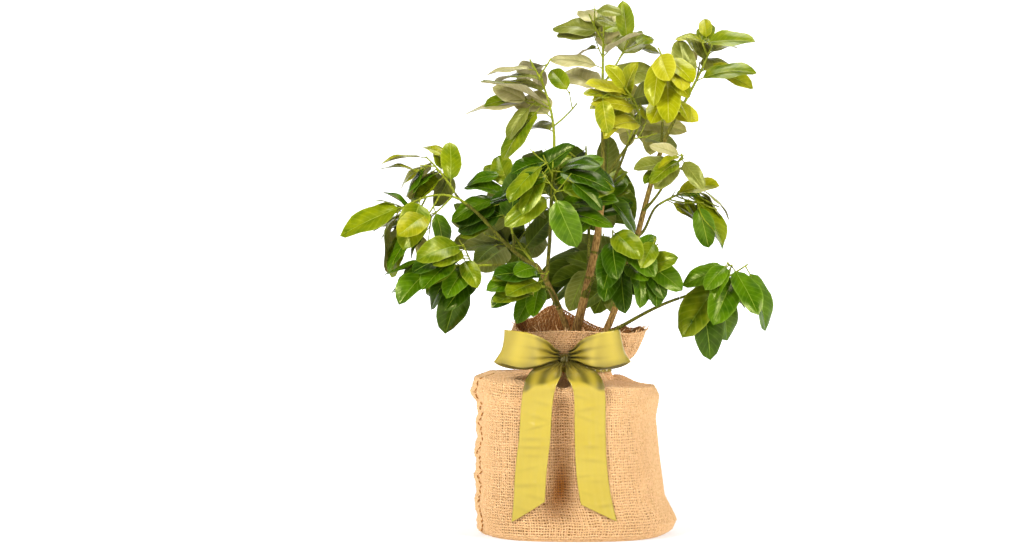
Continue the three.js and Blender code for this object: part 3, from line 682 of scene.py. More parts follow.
PALETTES = {
    Tint.MATURE: Palette(
        "leaf",
        (leaf_top("leaf_top_deep", (54, 85, 0), (28, 55, 0)), TOP_GREEN, TOP_OLIVE),
        (leaf_back("leaf_back", (88, 104, 16), (52, 70, 5)), BACK_GREY),
        leaf_rib("leaf_rib", (122, 142, 36), (96, 122, 16))),
    Tint.DUSKY: Palette(
        "leaf", (TOP_DUSKY, TOP_SAGE, TOP_OLIVE),
        (leaf_back("leaf_back_pale", (204, 192, 150), (176, 166, 118)), BACK_DUSKY),
        leaf_rib("leaf_rib_dusky", (150, 152, 84), (124, 130, 56))),
    Tint.BRIGHT: Palette(
        "leaf_bright",
        (leaf_top("leaf_top_fresh", (134, 143, 6), (78, 103, 1)), TOP_LIGHT, TOP_GREEN),
        (leaf_back("leaf_back_fresh", (170, 162, 92), (136, 134, 56)), BACK_GREY),
        leaf_rib("leaf_rib_fresh", (154, 164, 50), (126, 142, 26))),
    Tint.OLIVE: OLIVE_PALETTE,
    Tint.RIPENING: replace(OLIVE_PALETTE, slot="leaf_young"),
    Tint.YOUNG: Palette(
        "leaf_young",
        (leaf_top("leaf_top_young", (158, 158, 12), (130, 134, 3)),
         leaf_top("leaf_top_lime", (184, 178, 40), (156, 152, 14)), TOP_LIGHT),
        (leaf_back("leaf_back_young", (184, 176, 84), (156, 150, 52)),),
        leaf_rib("leaf_rib_young", (190, 184, 70), (166, 162, 44))),
}


# Meshes

SPLINE_STEPS, LENGTH_STEPS = 24, 200
NUDGE = 1e-4


@dataclass
class Shape:
    """Points in millimetres, with edges or faces, that become one mesh."""

    points: list[np.ndarray] = field(default_factory=list)
    edges: list[tuple[int, int]] = field(default_factory=list)
    faces: list[tuple[int, ...]] = field(default_factory=list)
    marks: dict[str, list[float]] = field(default_factory=dict)
    layout: list[tuple[float, float]] = field(default_factory=list)

    def line(self, points: Sequence[np.ndarray], **marks: Sequence[float] | float) -> None:
        """Adds a line of points.

        Args:
            points: The points in order.
            **marks: What each point keeps, or one number for all of them.
        """
        start = len(self.points)
        self.points.extend(points)
        self.edges.extend((start + i, start + i + 1) for i in range(len(points) - 1))
        for name, values in marks.items():
            spread = [values] * len(points) if isinstance(values, (int, float)) else list(values)
            self.marks.setdefault(name, []).extend(spread)

    def rings(self, rings: Sequence[Sequence[np.ndarray]], hoop: bool = False) -> None:
        """Adds a closed tube.

        Args:
            rings: Its rings in order, with as many points each.
            hoop: Whether the last ring joins the first, so that the tube needs no caps.
        """
        start, around = len(self.points), len(rings[0])
        for ring in rings:
            self.points.extend(ring)
        steps = len(rings) if hoop else len(rings) - 1
        for i in range(steps):
            low, high = start + i * around, start + ((i + 1) % len(rings)) * around
            for j in range(around):
                k = (j + 1) % around
                self.faces.append((low + j, low + k, high + k, high + j))
        if not hoop:
            self.faces.append(tuple(start + j for j in reversed(range(around))))
            self.faces.append(tuple(start + (len(rings) - 1) * around + j for j in range(around)))

    def sheet(self, grid: np.ndarray, thickness: float) -> None:
        """Adds a closed thin shell whose middle is a grid of points.

        Args:
            grid: Points in rows, with shape (rows, columns, 3).
            thickness: Of the shell, in millimetres.
        """
        along = np.gradient(grid, axis=0)
        across = np.gradient(grid, axis=1)
        out = np.cross(along, across)
        out /= np.maximum(np.linalg.norm(out, axis=2, keepdims=True), 1e-9)
        start, (rows, columns) = len(self.points), grid.shape[:2]
        lengths = [np.linalg.norm(np.diff(grid, axis=k), axis=2).mean(axis=1 - k) * MM for k in (0, 1)]
        spans = [np.concatenate([[0], np.cumsum(length)]) for length in lengths]
        for side in (0.5, -0.5):
            self.points.extend((grid + out * side * thickness).reshape(-1, 3))
            self.layout.extend((u, v) for u in spans[0] for v in spans[1])
        flip = rows * columns

        def at(i: int, j: int, side: int) -> int:
            """A point's number, by its row, its column and its side of the shell."""
            return start + side * flip + i * columns + j

        for i in range(rows - 1):
            for j in range(columns - 1):
                self.faces.append((at(i, j, 0), at(i + 1, j, 0), at(i + 1, j + 1, 0), at(i, j + 1, 0)))
                self.faces.append((at(i, j, 1), at(i, j + 1, 1), at(i + 1, j + 1, 1), at(i + 1, j, 1)))
        edge = [(i, 0) for i in range(rows)] + [(rows - 1, j) for j in range(1, columns)]
        edge += [(i, columns - 1) for i in reversed(range(rows - 1))]
        edge += [(0, j) for j in reversed(range(1, columns - 1))]
        for (a, b), (c, d) in zip(edge, edge[1:] + edge[:1]):
            self.faces.append((at(a, b, 0), at(a, b, 1), at(c, d, 1), at(c, d, 0)))

    def object(self, name: str, finish: Finish | None = None) -> Object:
        """Makes the mesh and its object, in metres.

        Args:
            name: The piece's name.
            finish: Its material, if it needs one now.

        Returns:
            The object, at the origin.
        """
        mesh = bpy.data.meshes.new(name)
        mesh.from_pydata(np.array(self.points) * MM, self.edges, self.faces)
        for label, values in self.marks.items():
            data = np.array(values, np.float32)
            kind = "FLOAT_VECTOR" if data.ndim == 2 else "FLOAT"
            mesh.attributes.new(label, kind, "POINT").data.foreach_set(
                "vector" if data.ndim == 2 else "value", data.ravel())
        mesh.shade_smooth()
        if self.layout:
            corners = np.zeros(len(mesh.loops), np.int32)
            mesh.loops.foreach_get("vertex_index", corners)
            flat = np.array(self.layout, np.float32)[corners]
            mesh.uv_layers.new(name="UVMap").data.foreach_set("uv", flat.ravel())
        if finish:
            mesh.materials.append(finish.material())
        return put(name, mesh)


def spline(points: Sequence[np.ndarray], count: int) -> np.ndarray:
    """A smooth line through points, evenly spaced.

    Args:
        points: What the line passes through.
        count: How many points to return.

    Returns:
        The points, as rows.
    """
    knots = [2 * points[0] - points[1], *points, 2 * points[-1] - points[-2]]
    dense = []
    for a, b, c, d in zip(knots, knots[1:], knots[2:], knots[3:]):
        step = [max(1e-6, np.linalg.norm(q - p)) ** 0.5 for p, q in ((a, b), (b, c), (c, d))]
        leave = ((b - a) / step[0] - (c - a) / (step[0] + step[1]) + (c - b) / step[1]) * step[1]
        arrive = ((c - b) / step[1] - (d - b) / (step[1] + step[2]) + (d - c) / step[2]) * step[1]
        for t in np.linspace(0, 1, SPLINE_STEPS, endpoint=False):
            dense.append((2 * t**3 - 3 * t**2 + 1) * b + (t**3 - 2 * t**2 + t) * leave
                         + (3 * t**2 - 2 * t**3) * c + (t**3 - t**2) * arrive)
    dense = np.array([*dense, points[-1]])
    reach = distances(dense)
    even = np.linspace(0, reach[-1], count)
    return np.stack([np.interp(even, reach, dense[:, k]) for k in range(3)], axis=1)


@dataclass(frozen=True)
class Bend:
    """A Bezier centre line, read just as the growth rule reads it."""

    controls: tuple[np.ndarray, ...]

    def point(self, share: float) -> np.ndarray:
        """The place at a share of the way.

        Args:
            share: From 0 at the start to 1 at the end.

        Returns:
            The place.
        """
        row = list(self.controls)
        while len(row) > 1:
            row = [a + (b - a) * share for a, b in zip(row, row[1:])]
        return row[0]

    def tangent(self, share: float) -> np.ndarray:
        """The direction at a share of the way."""
        return unit(self.point(min(1, share + NUDGE)) - self.point(max(0, share - NUDGE)))

    def points(self, steps: int) -> np.ndarray:
        """The places at equal steps."""
        return np.array([self.point(i / steps) for i in range(steps + 1)])

    def length(self) -> float:
        """How long the line is."""
        return float(np.linalg.norm(np.diff(self.points(LENGTH_STEPS), axis=0), axis=1).sum())


# Limbs

@dataclass
class Limb:
    """One tapering limb, which leaves its parent at a share of the parent's length.

    `leave` and `arrive` are its directions at its foot and tip, and `radii` its radii there. `to` is its tip.
    """

    name: str
    parent: str | None
    share: float
    to: tuple[float, float, float]
    leave: tuple[float, float, float]
    arrive: tuple[float, float, float]
    radii: tuple[float, float]
    flare: float = 0.0
    curve: Bend | None = None

    def bend(self, start: np.ndarray) -> None:
        """Works out the centre line.

        Args:
            start: Where the limb starts.
        """
        end = vec(*self.to)
        pull = np.linalg.norm(end - start) / 3
        first = start + unit(vec(*self.leave)) * pull
        second = end - unit(vec(*self.arrive)) * pull
        self.curve = Bend((start, first, second, end))

    def radius(self, share: float) -> float:
        """The radius at a share of the length, with the root flare."""
        return lerp(*self.radii, share) + self.flare * (1 - min(1, share * 3)) ** 2


TRUNK_FOOT = vec(6, 4, 150.3)
LIMBS = [Limb(*row) for row in (
    ("trunk", None, 0, (-1, 0, 214), (0, 0, 1), (-0.15, 0, 1), (9, 7), 5),
    ("bough_centre", "trunk", 0.97, (34, 0, 403), (0.25, 0, 1), (0.02, 0, 1), (5.6, 3.2)),
    ("bough_left", "trunk", 0.95, (-41, -20, 302), (-0.3, 0, 1), (-0.55, -0.3, 0.78), (3.9, 2.8)),
    ("bough_right", "trunk", 0.35, (103, 0, 443), (0.6, 0, 0.8), (0.33, 0, 0.94), (4.6, 2.6)),
    ("bough_front", "bough_left", 0.8, (-22, -35, 432), (0.1, -0.4, 0.92), (0.05, 0.12, 0.98), (2.4, 1.7)),
    ("bough_far_left", "bough_left", 1, (-119, -25, 371), (-0.85, -0.1, 0.35), (-0.75, 0, 0.6), (2.4, 1.7)),
    ("bough_high_left", "bough_far_left", 0.72,
     (-133, -14, 384), (-0.5, 0.3, 0.8), (-0.5, 0.1, 0.85), (1.8, 1.5)),
    ("bough_low_left", "bough_left", 0.93,
     (-91, -50, 303), (-0.75, -0.6, 0.05), (-0.95, -0.2, -0.05), (2, 1.6)),
    ("bough_inner_left", "bough_far_left", 0.3,
     (-68, 6, 338), (-0.1, 0.7, 0.7), (-0.2, 0.2, 0.95), (1.8, 1.5)),
    ("bough_low_front", "bough_left", 0.5, (-33, -48, 279), (-0.2, -0.95, 0.1), (-0.6, -0.8, 0), (1.8, 1.5)),
    ("bough_face", "bough_front", 0.3, (-27, -60, 347), (0.1, -0.9, 0.3), (0, -0.6, 0.8), (1.8, 1.5)),
    ("bough_top", "bough_centre", 1, (34, 14, 481), (0, 0.1, 1), (0, 0.1, 1), (2.6, 1.9)),
    ("bough_flush_left", "bough_centre", 0.97,
     (69, -13, 450), (0.5, -0.2, 0.85), (0.5, -0.2, 0.85), (2, 1.6)),
    ("bough_flush", "bough_right", 0.97, (100, -18, 464), (-0.1, -0.7, 0.7), (0, -0.1, 1), (1.9, 1.6)),
    ("bough_top_right", "bough_right", 1, (126, 2, 487), (0.4, 0, 0.9), (0.5, 0.05, 0.87), (2.3, 1.8)),
    ("bough_right_high", "bough_right", 0.72,
     (103, -14, 396), (0.6, -0.5, 0.6), (0.4, -0.3, 0.85), (1.7, 1.5)),
    ("bough_right_side", "bough_right", 0.62, (98, 14, 372), (0.85, 0.5, 0.2), (0.8, 0.2, 0.5), (1.8, 1.5)),
    ("bough_low_right", "bough_right", 0.2,
     (119, -20, 266), (0.85, -0.2, 0.5), (0.92, -0.1, 0.3), (2.4, 1.7)),
    ("bough_right_front", "bough_centre", 0.3, (34, -38, 303), (0.2, -0.95, 0.2), (0.5, -0.8, 0.2), (2, 1.6)),
    ("bough_middle", "bough_centre", 0.55, (32, 20, 338), (0.2, 0.9, 0.4), (0, 0.5, 0.85), (2, 1.6)),
    ("bough_back_left", "bough_left", 0.45, (-44, 48, 306), (-0.3, 0.9, 0.3), (-0.5, 0.6, 0.6), (2.2, 1.7)),
    ("bough_back", "bough_centre", 0.4, (20, 68, 356), (0, 0.9, 0.4), (0, 0.6, 0.8), (2.4, 1.8)),
    ("bough_back_right", "bough_right", 0.33, (58, 62, 272), (0.1, 0.9, 0.3), (0.1, 0.8, 0.5), (2.2, 1.7)),
    ("bough_back_top", "bough_centre", 0.85, (62, 48, 436), (0.4, 0.7, 0.6), (0.3, 0.5, 0.8), (2, 1.6)),
)]


@dataclass
class Wood:
    """The trunk and boughs: one mesh with smooth crotches and the bark's relief.

    `young_radius` and `old_radius` are the radii at which wood is still green and at which its bark is old.
    """

    voxel: float = 0.8
    sides: int = 14
    ring_step: float = 3.0
    fewest_rings: int = 6
    collar: float = 0.35
    relief: float = 0.32
    relief_grain: float = 2.4
    relief_stretch: float = 0.28
    young_relief: float = 0.15
    young_radius: float = 1.9
    old_radius: float = 4.2
    age_step: float = 6.0
    batch: int = 4000
    limbs: dict[str, Limb] = field(default_factory=dict)

    def __post_init__(self) -> None:
        """Bends every limb from its parent."""
        for limb in LIMBS:
            parent = self.limbs.get(limb.parent)
            limb.bend(parent.curve.point(limb.share) if parent else TRUNK_FOOT)
            self.limbs[limb.name] = limb

    def samples(self, spacing: float = 4.0) -> tuple[np.ndarray, np.ndarray]:
        """Points along every centre line, with the limb's radius at each.

        Args:
            spacing: The largest step, in millimetres.

        Returns:
            The points and the radii.
        """
        points, radii = [], []
        for limb in self.limbs.values():
            steps = math.ceil(limb.curve.length() / spacing)
            points.extend(limb.curve.points(steps))
            radii.extend(lerp(*limb.radii, i / steps) for i in range(steps + 1))
        return np.array(points), np.array(radii)

    def tube(self, shape: Shape, limb: Limb) -> None:
        """Adds one limb, with a swollen collar where it leaves its parent.

        Args:
            shape: What it is added to.
            limb: The limb.
        """
        steps = max(self.fewest_rings, round(limb.curve.length() / self.ring_step))
        side, rings = vec(0, 1, 0), []
        for i in range(steps + 1):
            share = i / steps
            along = limb.curve.tangent(share)
            side = unit(flatten(side if abs(along.dot(side)) < 0.95 else vec(1, 0, 0), along))
            other = np.cross(along, side)
            swell = self.collar * math.exp(-i / 2) if limb.parent else 0
            radius = limb.radius(share) * (1 + swell)
            rings.append([limb.curve.point(share) + (side * math.cos(a) + other * math.sin(a)) * radius
                          for a in circle(self.sides)])
        shape.rings(rings)

    def relief_tree(self) -> GeometryTree:
        """The tree that raises the bark: fissures along the limbs, deeper where the wood is old.

        Returns:
            The tree.
        """
        tree = GeometryTree("bark_relief", {
            "Depth": self.relief * MM, "Grain": 1 / (self.relief_grain * MM), "Bark": BARK.material()})
        place = tree.term(tree.add("GeometryNodeInputPosition"))
        long = tree.vector("MULTIPLY", place, (1.0, 1.0, self.relief_stretch))
        grain = tree.add("ShaderNodeTexNoise", {"Vector": long, "Scale": tree.size("Grain"), "Detail": 3.0,
                                                "Roughness": 0.65})
        height = (tree.term(grain, "Fac") - 0.5) * 2.0
        depth = tree.size("Depth") * (tree.named("age") * (1 - self.young_relief) + self.young_relief)
        normal = tree.term(tree.add("GeometryNodeInputNormal"))
        moved = tree.add("GeometryNodeSetPosition", {
            "Geometry": tree.start.outputs[0], "Offset": normal.times(height * depth)})
        tree.finish(moved.outputs[0], "Bark")
        return tree

    def build(self) -> Object:
        """Joins the limbs, rounds their crotches and raises the bark.

        Returns:
            The finished piece.
        """
        shape = Shape()
        for limb in self.limbs.values():
            self.tube(shape, limb)
        core = shape.object("limb_core")
        remesh = core.modifiers.new("join", "REMESH")
        remesh.mode, remesh.voxel_size = "VOXEL", self.voxel * MM
        remesh.use_smooth_shade = True
        soften = core.modifiers.new("soften", "SMOOTH")
        soften.factor, soften.iterations = 0.5, 3
        mesh = evaluated(core)
        core.modifiers.clear()
        core.data = mesh
        self.age(mesh)
        return self.relief_tree().grow(core, "bark")

    def age(self, mesh: bpy.types.Mesh) -> None:
        """Marks each point with the age of its wood, from 0 for a green shoot to 1 for the trunk.

        Args:
            mesh: The joined limbs.
        """
        count = len(mesh.vertices)
        places = np.zeros(count * 3, np.float32)
        mesh.vertices.foreach_get("co", places)
        points, radii = self.samples(self.age_step)
        ages = np.empty(count, np.float32)
        for start in range(0, count, self.batch):
            batch = places.reshape(-1, 3)[start:start + self.batch] / MM
            near = np.linalg.norm(batch[:, None] - points, axis=2).argmin(axis=1)
            ages[start:start + self.batch] = smoothstep(radii[near], self.young_radius, self.old_radius)
        mesh.attributes.new("age", "FLOAT", "POINT").data.foreach_set("value", ages)

    def dress(self) -> list[Object]:
        """Puts the bark in the limbs' place.

        Returns:
            The piece.
        """
        piece = self.build()
        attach(piece, "root")
        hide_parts(*self.limbs)
        return [piece]


# The crown

# The solids' own growth rule
SPIRAL, TWIG_ANGLE, LEAF_ANGLE = math.radians(135), math.radians(52), math.radians(58)
TRIES = 24
PLAY, LIMB_SPACING, SPACE_MARGIN, MIDDLE_Y = 0.3, 2.5, 0.02, 60
STATIONS = (0.14, 0.42, 0.75)
LEAF_WIDTH, PETIOLE = 0.47, 0.14
BASE_SPAN, TIP_SPAN = 0.55, 0.75
WIDEST = BASE_SPAN / (BASE_SPAN + TIP_SPAN)
WIDTH_PEAK = WIDEST ** BASE_SPAN * (1 - WIDEST) ** TIP_SPAN
# The finer shoots and the curved blades
SHOOT_TRIES, SHOOT_LEAF_TRIES = 8, 10
SHOOT_SEED, LOOK_SEED = 5000, 9000
BLADE_BASE, BLADE_TIP = 0.52, 0.62
BLADE_PEAK = ((BLADE_BASE / (BLADE_BASE + BLADE_TIP)) ** BLADE_BASE
              * (BLADE_TIP / (BLADE_BASE + BLADE_TIP)) ** BLADE_TIP)


@dataclass
class Leaf:
    """A leaf: where its stalk leaves the twig, where it points, which way it faces, and its sizes."""

    root: np.ndarray
    along: np.ndarray
    face: np.ndarray
    length: float
    arch: float

    def __post_init__(self) -> None:
        """Places the foot of the blade."""
        self.foot = self.root + self.along * self.length * PETIOLE
        self.side = np.cross(self.face, self.along)

    def middle(self, share: float) -> np.ndarray:
        """A place on the midrib.

        Args:
            share: How far along the blade, from 0 to 1.

        Returns:
            The place.
        """
        angle = self.arch * share
        return (self.foot + self.along * self.length * math.sin(angle) / self.arch
                - self.face * self.length * (1 - math.cos(angle)) / self.arch)

    def rows(self) -> np.ndarray:
        """The outline that the leaf is tested by.

        Returns:
            Rows of a left, a middle and a right point, from foot to tip.
        """
        rows = [[self.foot] * 3]
        for share in STATIONS:
            swell = share ** BASE_SPAN * (1 - share) ** TIP_SPAN
            width = (self.length * LEAF_WIDTH / 2) * swell / WIDTH_PEAK
            middle = self.middle(share)
            rows.append([middle + self.side * width, middle, middle - self.side * width])
        rows.append([self.middle(1)] * 3)
        return np.array(rows)


def panels(rows: np.ndarray) -> np.ndarray:
    """The flat triangles between a leaf's rows.

    Args:
        rows: The leaf's outline.

    Returns:
        The triangles' corners, with shape (count, 3, 3).
    """
    found = []
    for low, high in zip(rows, rows[1:]):
        for j in range(2):
            found += [(low[j], low[j + 1], high[j + 1]), (low[j], high[j + 1], high[j])]
    return np.array(found)


def pierces(starts: np.ndarray, ends: np.ndarray, triangles: np.ndarray) -> bool:
    """Whether any of some straight stretches runs through any of some triangles.

    Args:
        starts: Where the stretches start, as rows.
        ends: Where they end.
        triangles: The triangles' corners, with shape (count, 3, 3).

    Returns:
        True if one does.
    """
    reach = np.linalg.norm(ends - starts, axis=1)
    kept = reach > 1e-9
    starts, way, reach = starts[kept], (ends - starts)[kept] / reach[kept, None], reach[kept]
    first = triangles[:, 1] - triangles[:, 0]
    second = triangles[:, 2] - triangles[:, 0]
    cross = np.cross(way[:, None], second[None])
    turn = (cross * first[None]).sum(axis=2)
    offset = starts[:, None] - triangles[None, :, 0]
    with np.errstate(divide="ignore", invalid="ignore"):
        u = (cross * offset).sum(axis=2) / turn
        lift = np.cross(offset, np.broadcast_to(first[None], offset.shape))
        v = (lift * way[:, None]).sum(axis=2) / turn
        t = (lift * second[None]).sum(axis=2) / turn
        within = (u >= 0) & (v >= 0) & (u + v <= 1)
    return bool((within & (np.abs(turn) > 1e-12) & (t >= 0) & (t < reach[:, None])).any())


def stretches(rows: np.ndarray) -> tuple[np.ndarray, np.ndarray]:
    """The straight stretches of a leaf's left, middle and right lines."""
    return rows[:-1].reshape(-1, 3), rows[1:].reshape(-1, 3)


def blades_cross(a: np.ndarray, b: np.ndarray) -> bool:
    """Whether two leaves run through each other.

    Args:
        a: One leaf's rows.
        b: The other's.

    Returns:
        True if they do.
    """
    span = 2 * np.linalg.norm(a[2][1] - a[0][1]) + 2 * np.linalg.norm(b[2][1] - b[0][1])
    if np.linalg.norm(a[2][1] - b[2][1]) > span:
        return False
    return pierces(*stretches(a), panels(b)) or pierces(*stretches(b), panels(a))


def branch_off(along: np.ndarray, angle: float, bearing: float) -> np.ndarray:
    """A direction that leaves another.

    Args:
        along: The direction that it leaves.
        angle: The angle between the two, in radians.
        bearing: How far it is turned round `along`, in radians.

    Returns:
        The direction, at length 1.
    """
    side = unit(flatten(vec(0, 1, 0), along))
    other = np.cross(along, side)
    return (along * math.cos(angle) + side * math.sin(angle) * math.cos(bearing)
            + other * math.sin(angle) * math.sin(bearing))


def twig_curve(start: np.ndarray, direction: np.ndarray, length: float, lift: float) -> Bend:
    """A twig's centre line, with a knee half way.

    Args:
        start: Where it starts.
        direction: The way that it leaves.
        length: Of the twig, in millimetres.
        lift: How far it turns up after the knee, or down where it is below 0.

    Returns:
        The line.
    """
    knee = start + direction * length / 2
    onward = unit(direction + UP * lift)
    return Bend((start, knee, knee + onward * length / 2))


@dataclass
class Twig:
    """A stem or twig, with its radii and how many leaves it carries before its last."""

    curve: Bend
    radii: tuple[float, float]
    leaves: int
    start: float


@dataclass(frozen=True)
class Mass:
    """One mass of foliage, which grows on from a bough's tip inside its own egg-shaped space.

    `tip` is where its stem ends. `droop` is how far its leaves hang, and `show` how far they face outwards.
    """

    name: str
    bough: str
    tip: tuple[float, float, float]
    centre: tuple[float, float, float]
    radii: tuple[float, float, float]
    seed: int
    stem_leaves: int
    twigs: int
    twig_leaves: int
    twig_length: float
    leaf: float
    droop: float
    show: float
    tint: Tint
    shoots: int = 2


MASSES = [
    Mass("crown_far_left", "bough_far_left", (-199, -33, 361), (-204, -32, 345), (88, 62, 66),
         622, 5, 4, 2, 46, 69, 0.25, 0.5, Tint.BRIGHT, 1),
    Mass("crown_high_left", "bough_high_left", (-166, -13, 425), (-158, -12, 400), (66, 54, 56),
         395, 7, 2, 3, 20, 75, 0.45, 0.7, Tint.BRIGHT, 1),
    Mass("crown_low_left", "bough_low_left", (-153, -70, 304), (-146, -62, 284), (72, 60, 62),
         48, 5, 2, 2, 35, 68, 0.5, 0.8, Tint.MATURE, 3),
    Mass("crown_inner_left", "bough_inner_left", (-91, 13, 391), (-84, 12, 372), (58, 56, 62),
         152, 7, 3, 3, 36, 70, 0.15, 1.1, Tint.MATURE, 3),
    Mass("crown_low_front", "bough_low_front", (-57, -82, 285), (-58, -78, 276), (54, 44, 40),
         594, 5, 2, 3, 38, 70, 0.05, 1.1, Tint.MATURE, 3),
    Mass("crown_face", "bough_face", (-24, -82, 416), (-18, -78, 376), (80, 52, 62),
         529, 6, 4, 3, 44, 79, 0.45, 1, Tint.MATURE, 3),
    Mass("crown_upper_left", "bough_front", (-49, -16, 534), (-54, -12, 486), (78, 58, 74),
         61, 6, 4, 3, 34, 89, 0.1, 0.7, Tint.DUSKY, 1),
    Mass("crown_top", "bough_top", (36, 21, 580), (44, 24, 548), (84, 64, 66),
         431, 6, 3, 1, 50, 65, -0.1, 1.2, Tint.DUSKY, 1),
    Mass("crown_flush_left", "bough_flush_left", (56, -42, 500), (54, -36, 488), (50, 46, 52),
         900, 3, 4, 3, 40, 59, -0.1, 1.2, Tint.YOUNG),
    Mass("crown_flush", "bough_flush", (110, -43, 536), (104, -38, 494), (48, 46, 60),
         280, 5, 3, 3, 30, 66, 0.5, 0.8, Tint.YOUNG),
    Mass("crown_top_right", "bough_top_right", (162, 10, 562), (162, 10, 532), (66, 58, 74),
         471, 6, 2, 1, 35, 69, 0.25, 0.7, Tint.OLIVE, 1),
    Mass("crown_right_high", "bough_right_high", (123, -24, 426), (112, -20, 412), (50, 42, 38),
         510, 7, 2, 2, 16, 64, 0.5, 0.8, Tint.RIPENING, 1),
    Mass("crown_right_side", "bough_right_side", (145, 19, 391), (124, 20, 356), (62, 52, 62),
         680, 5, 4, 2, 46, 71, 0.15, 0.3, Tint.BRIGHT, 1),
    Mass("crown_low_right", "bough_low_right", (195, -26, 304), (158, -26, 272), (74, 52, 80),
         69, 3, 2, 1, 17, 85, 1.2, 1, Tint.MATURE, 1),
    Mass("crown_right_front", "bough_right_front", (80, -74, 306), (62, -74, 298), (64, 50, 54),
         303, 6, 4, 2, 40, 68, 0.5, 1.2, Tint.MATURE, 3),
    Mass("crown_middle", "bough_middle", (29, 34, 401), (32, 36, 368), (60, 46, 56),
         842, 6, 4, 1, 26, 68, 0.5, 1, Tint.MATURE, 3),
    Mass("crown_back_left", "bough_back_left", (-81, 99, 368), (-70, 96, 346), (74, 64, 72),
         367, 3, 4, 3, 39, 80, 0.4, 1.1, Tint.MATURE),
    Mass("crown_back", "bough_back", (19, 134, 445), (24, 122, 400), (68, 62, 76),
         439, 6, 2, 2, 37, 78, 0.5, 0.7, Tint.MATURE),
    Mass("crown_back_right", "bough_back_right", (4, 116, 314), (34, 104, 298), (84, 58, 62),
         651, 6, 5, 3, 43, 83, 0.5, 0.8, Tint.MATURE),
    Mass("crown_back_top", "bough_back_top", (81, 87, 492), (80, 84, 474), (58, 50, 62),
         67, 3, 5, 2, 34, 64, 0.2, 1.1, Tint.BRIGHT),
]


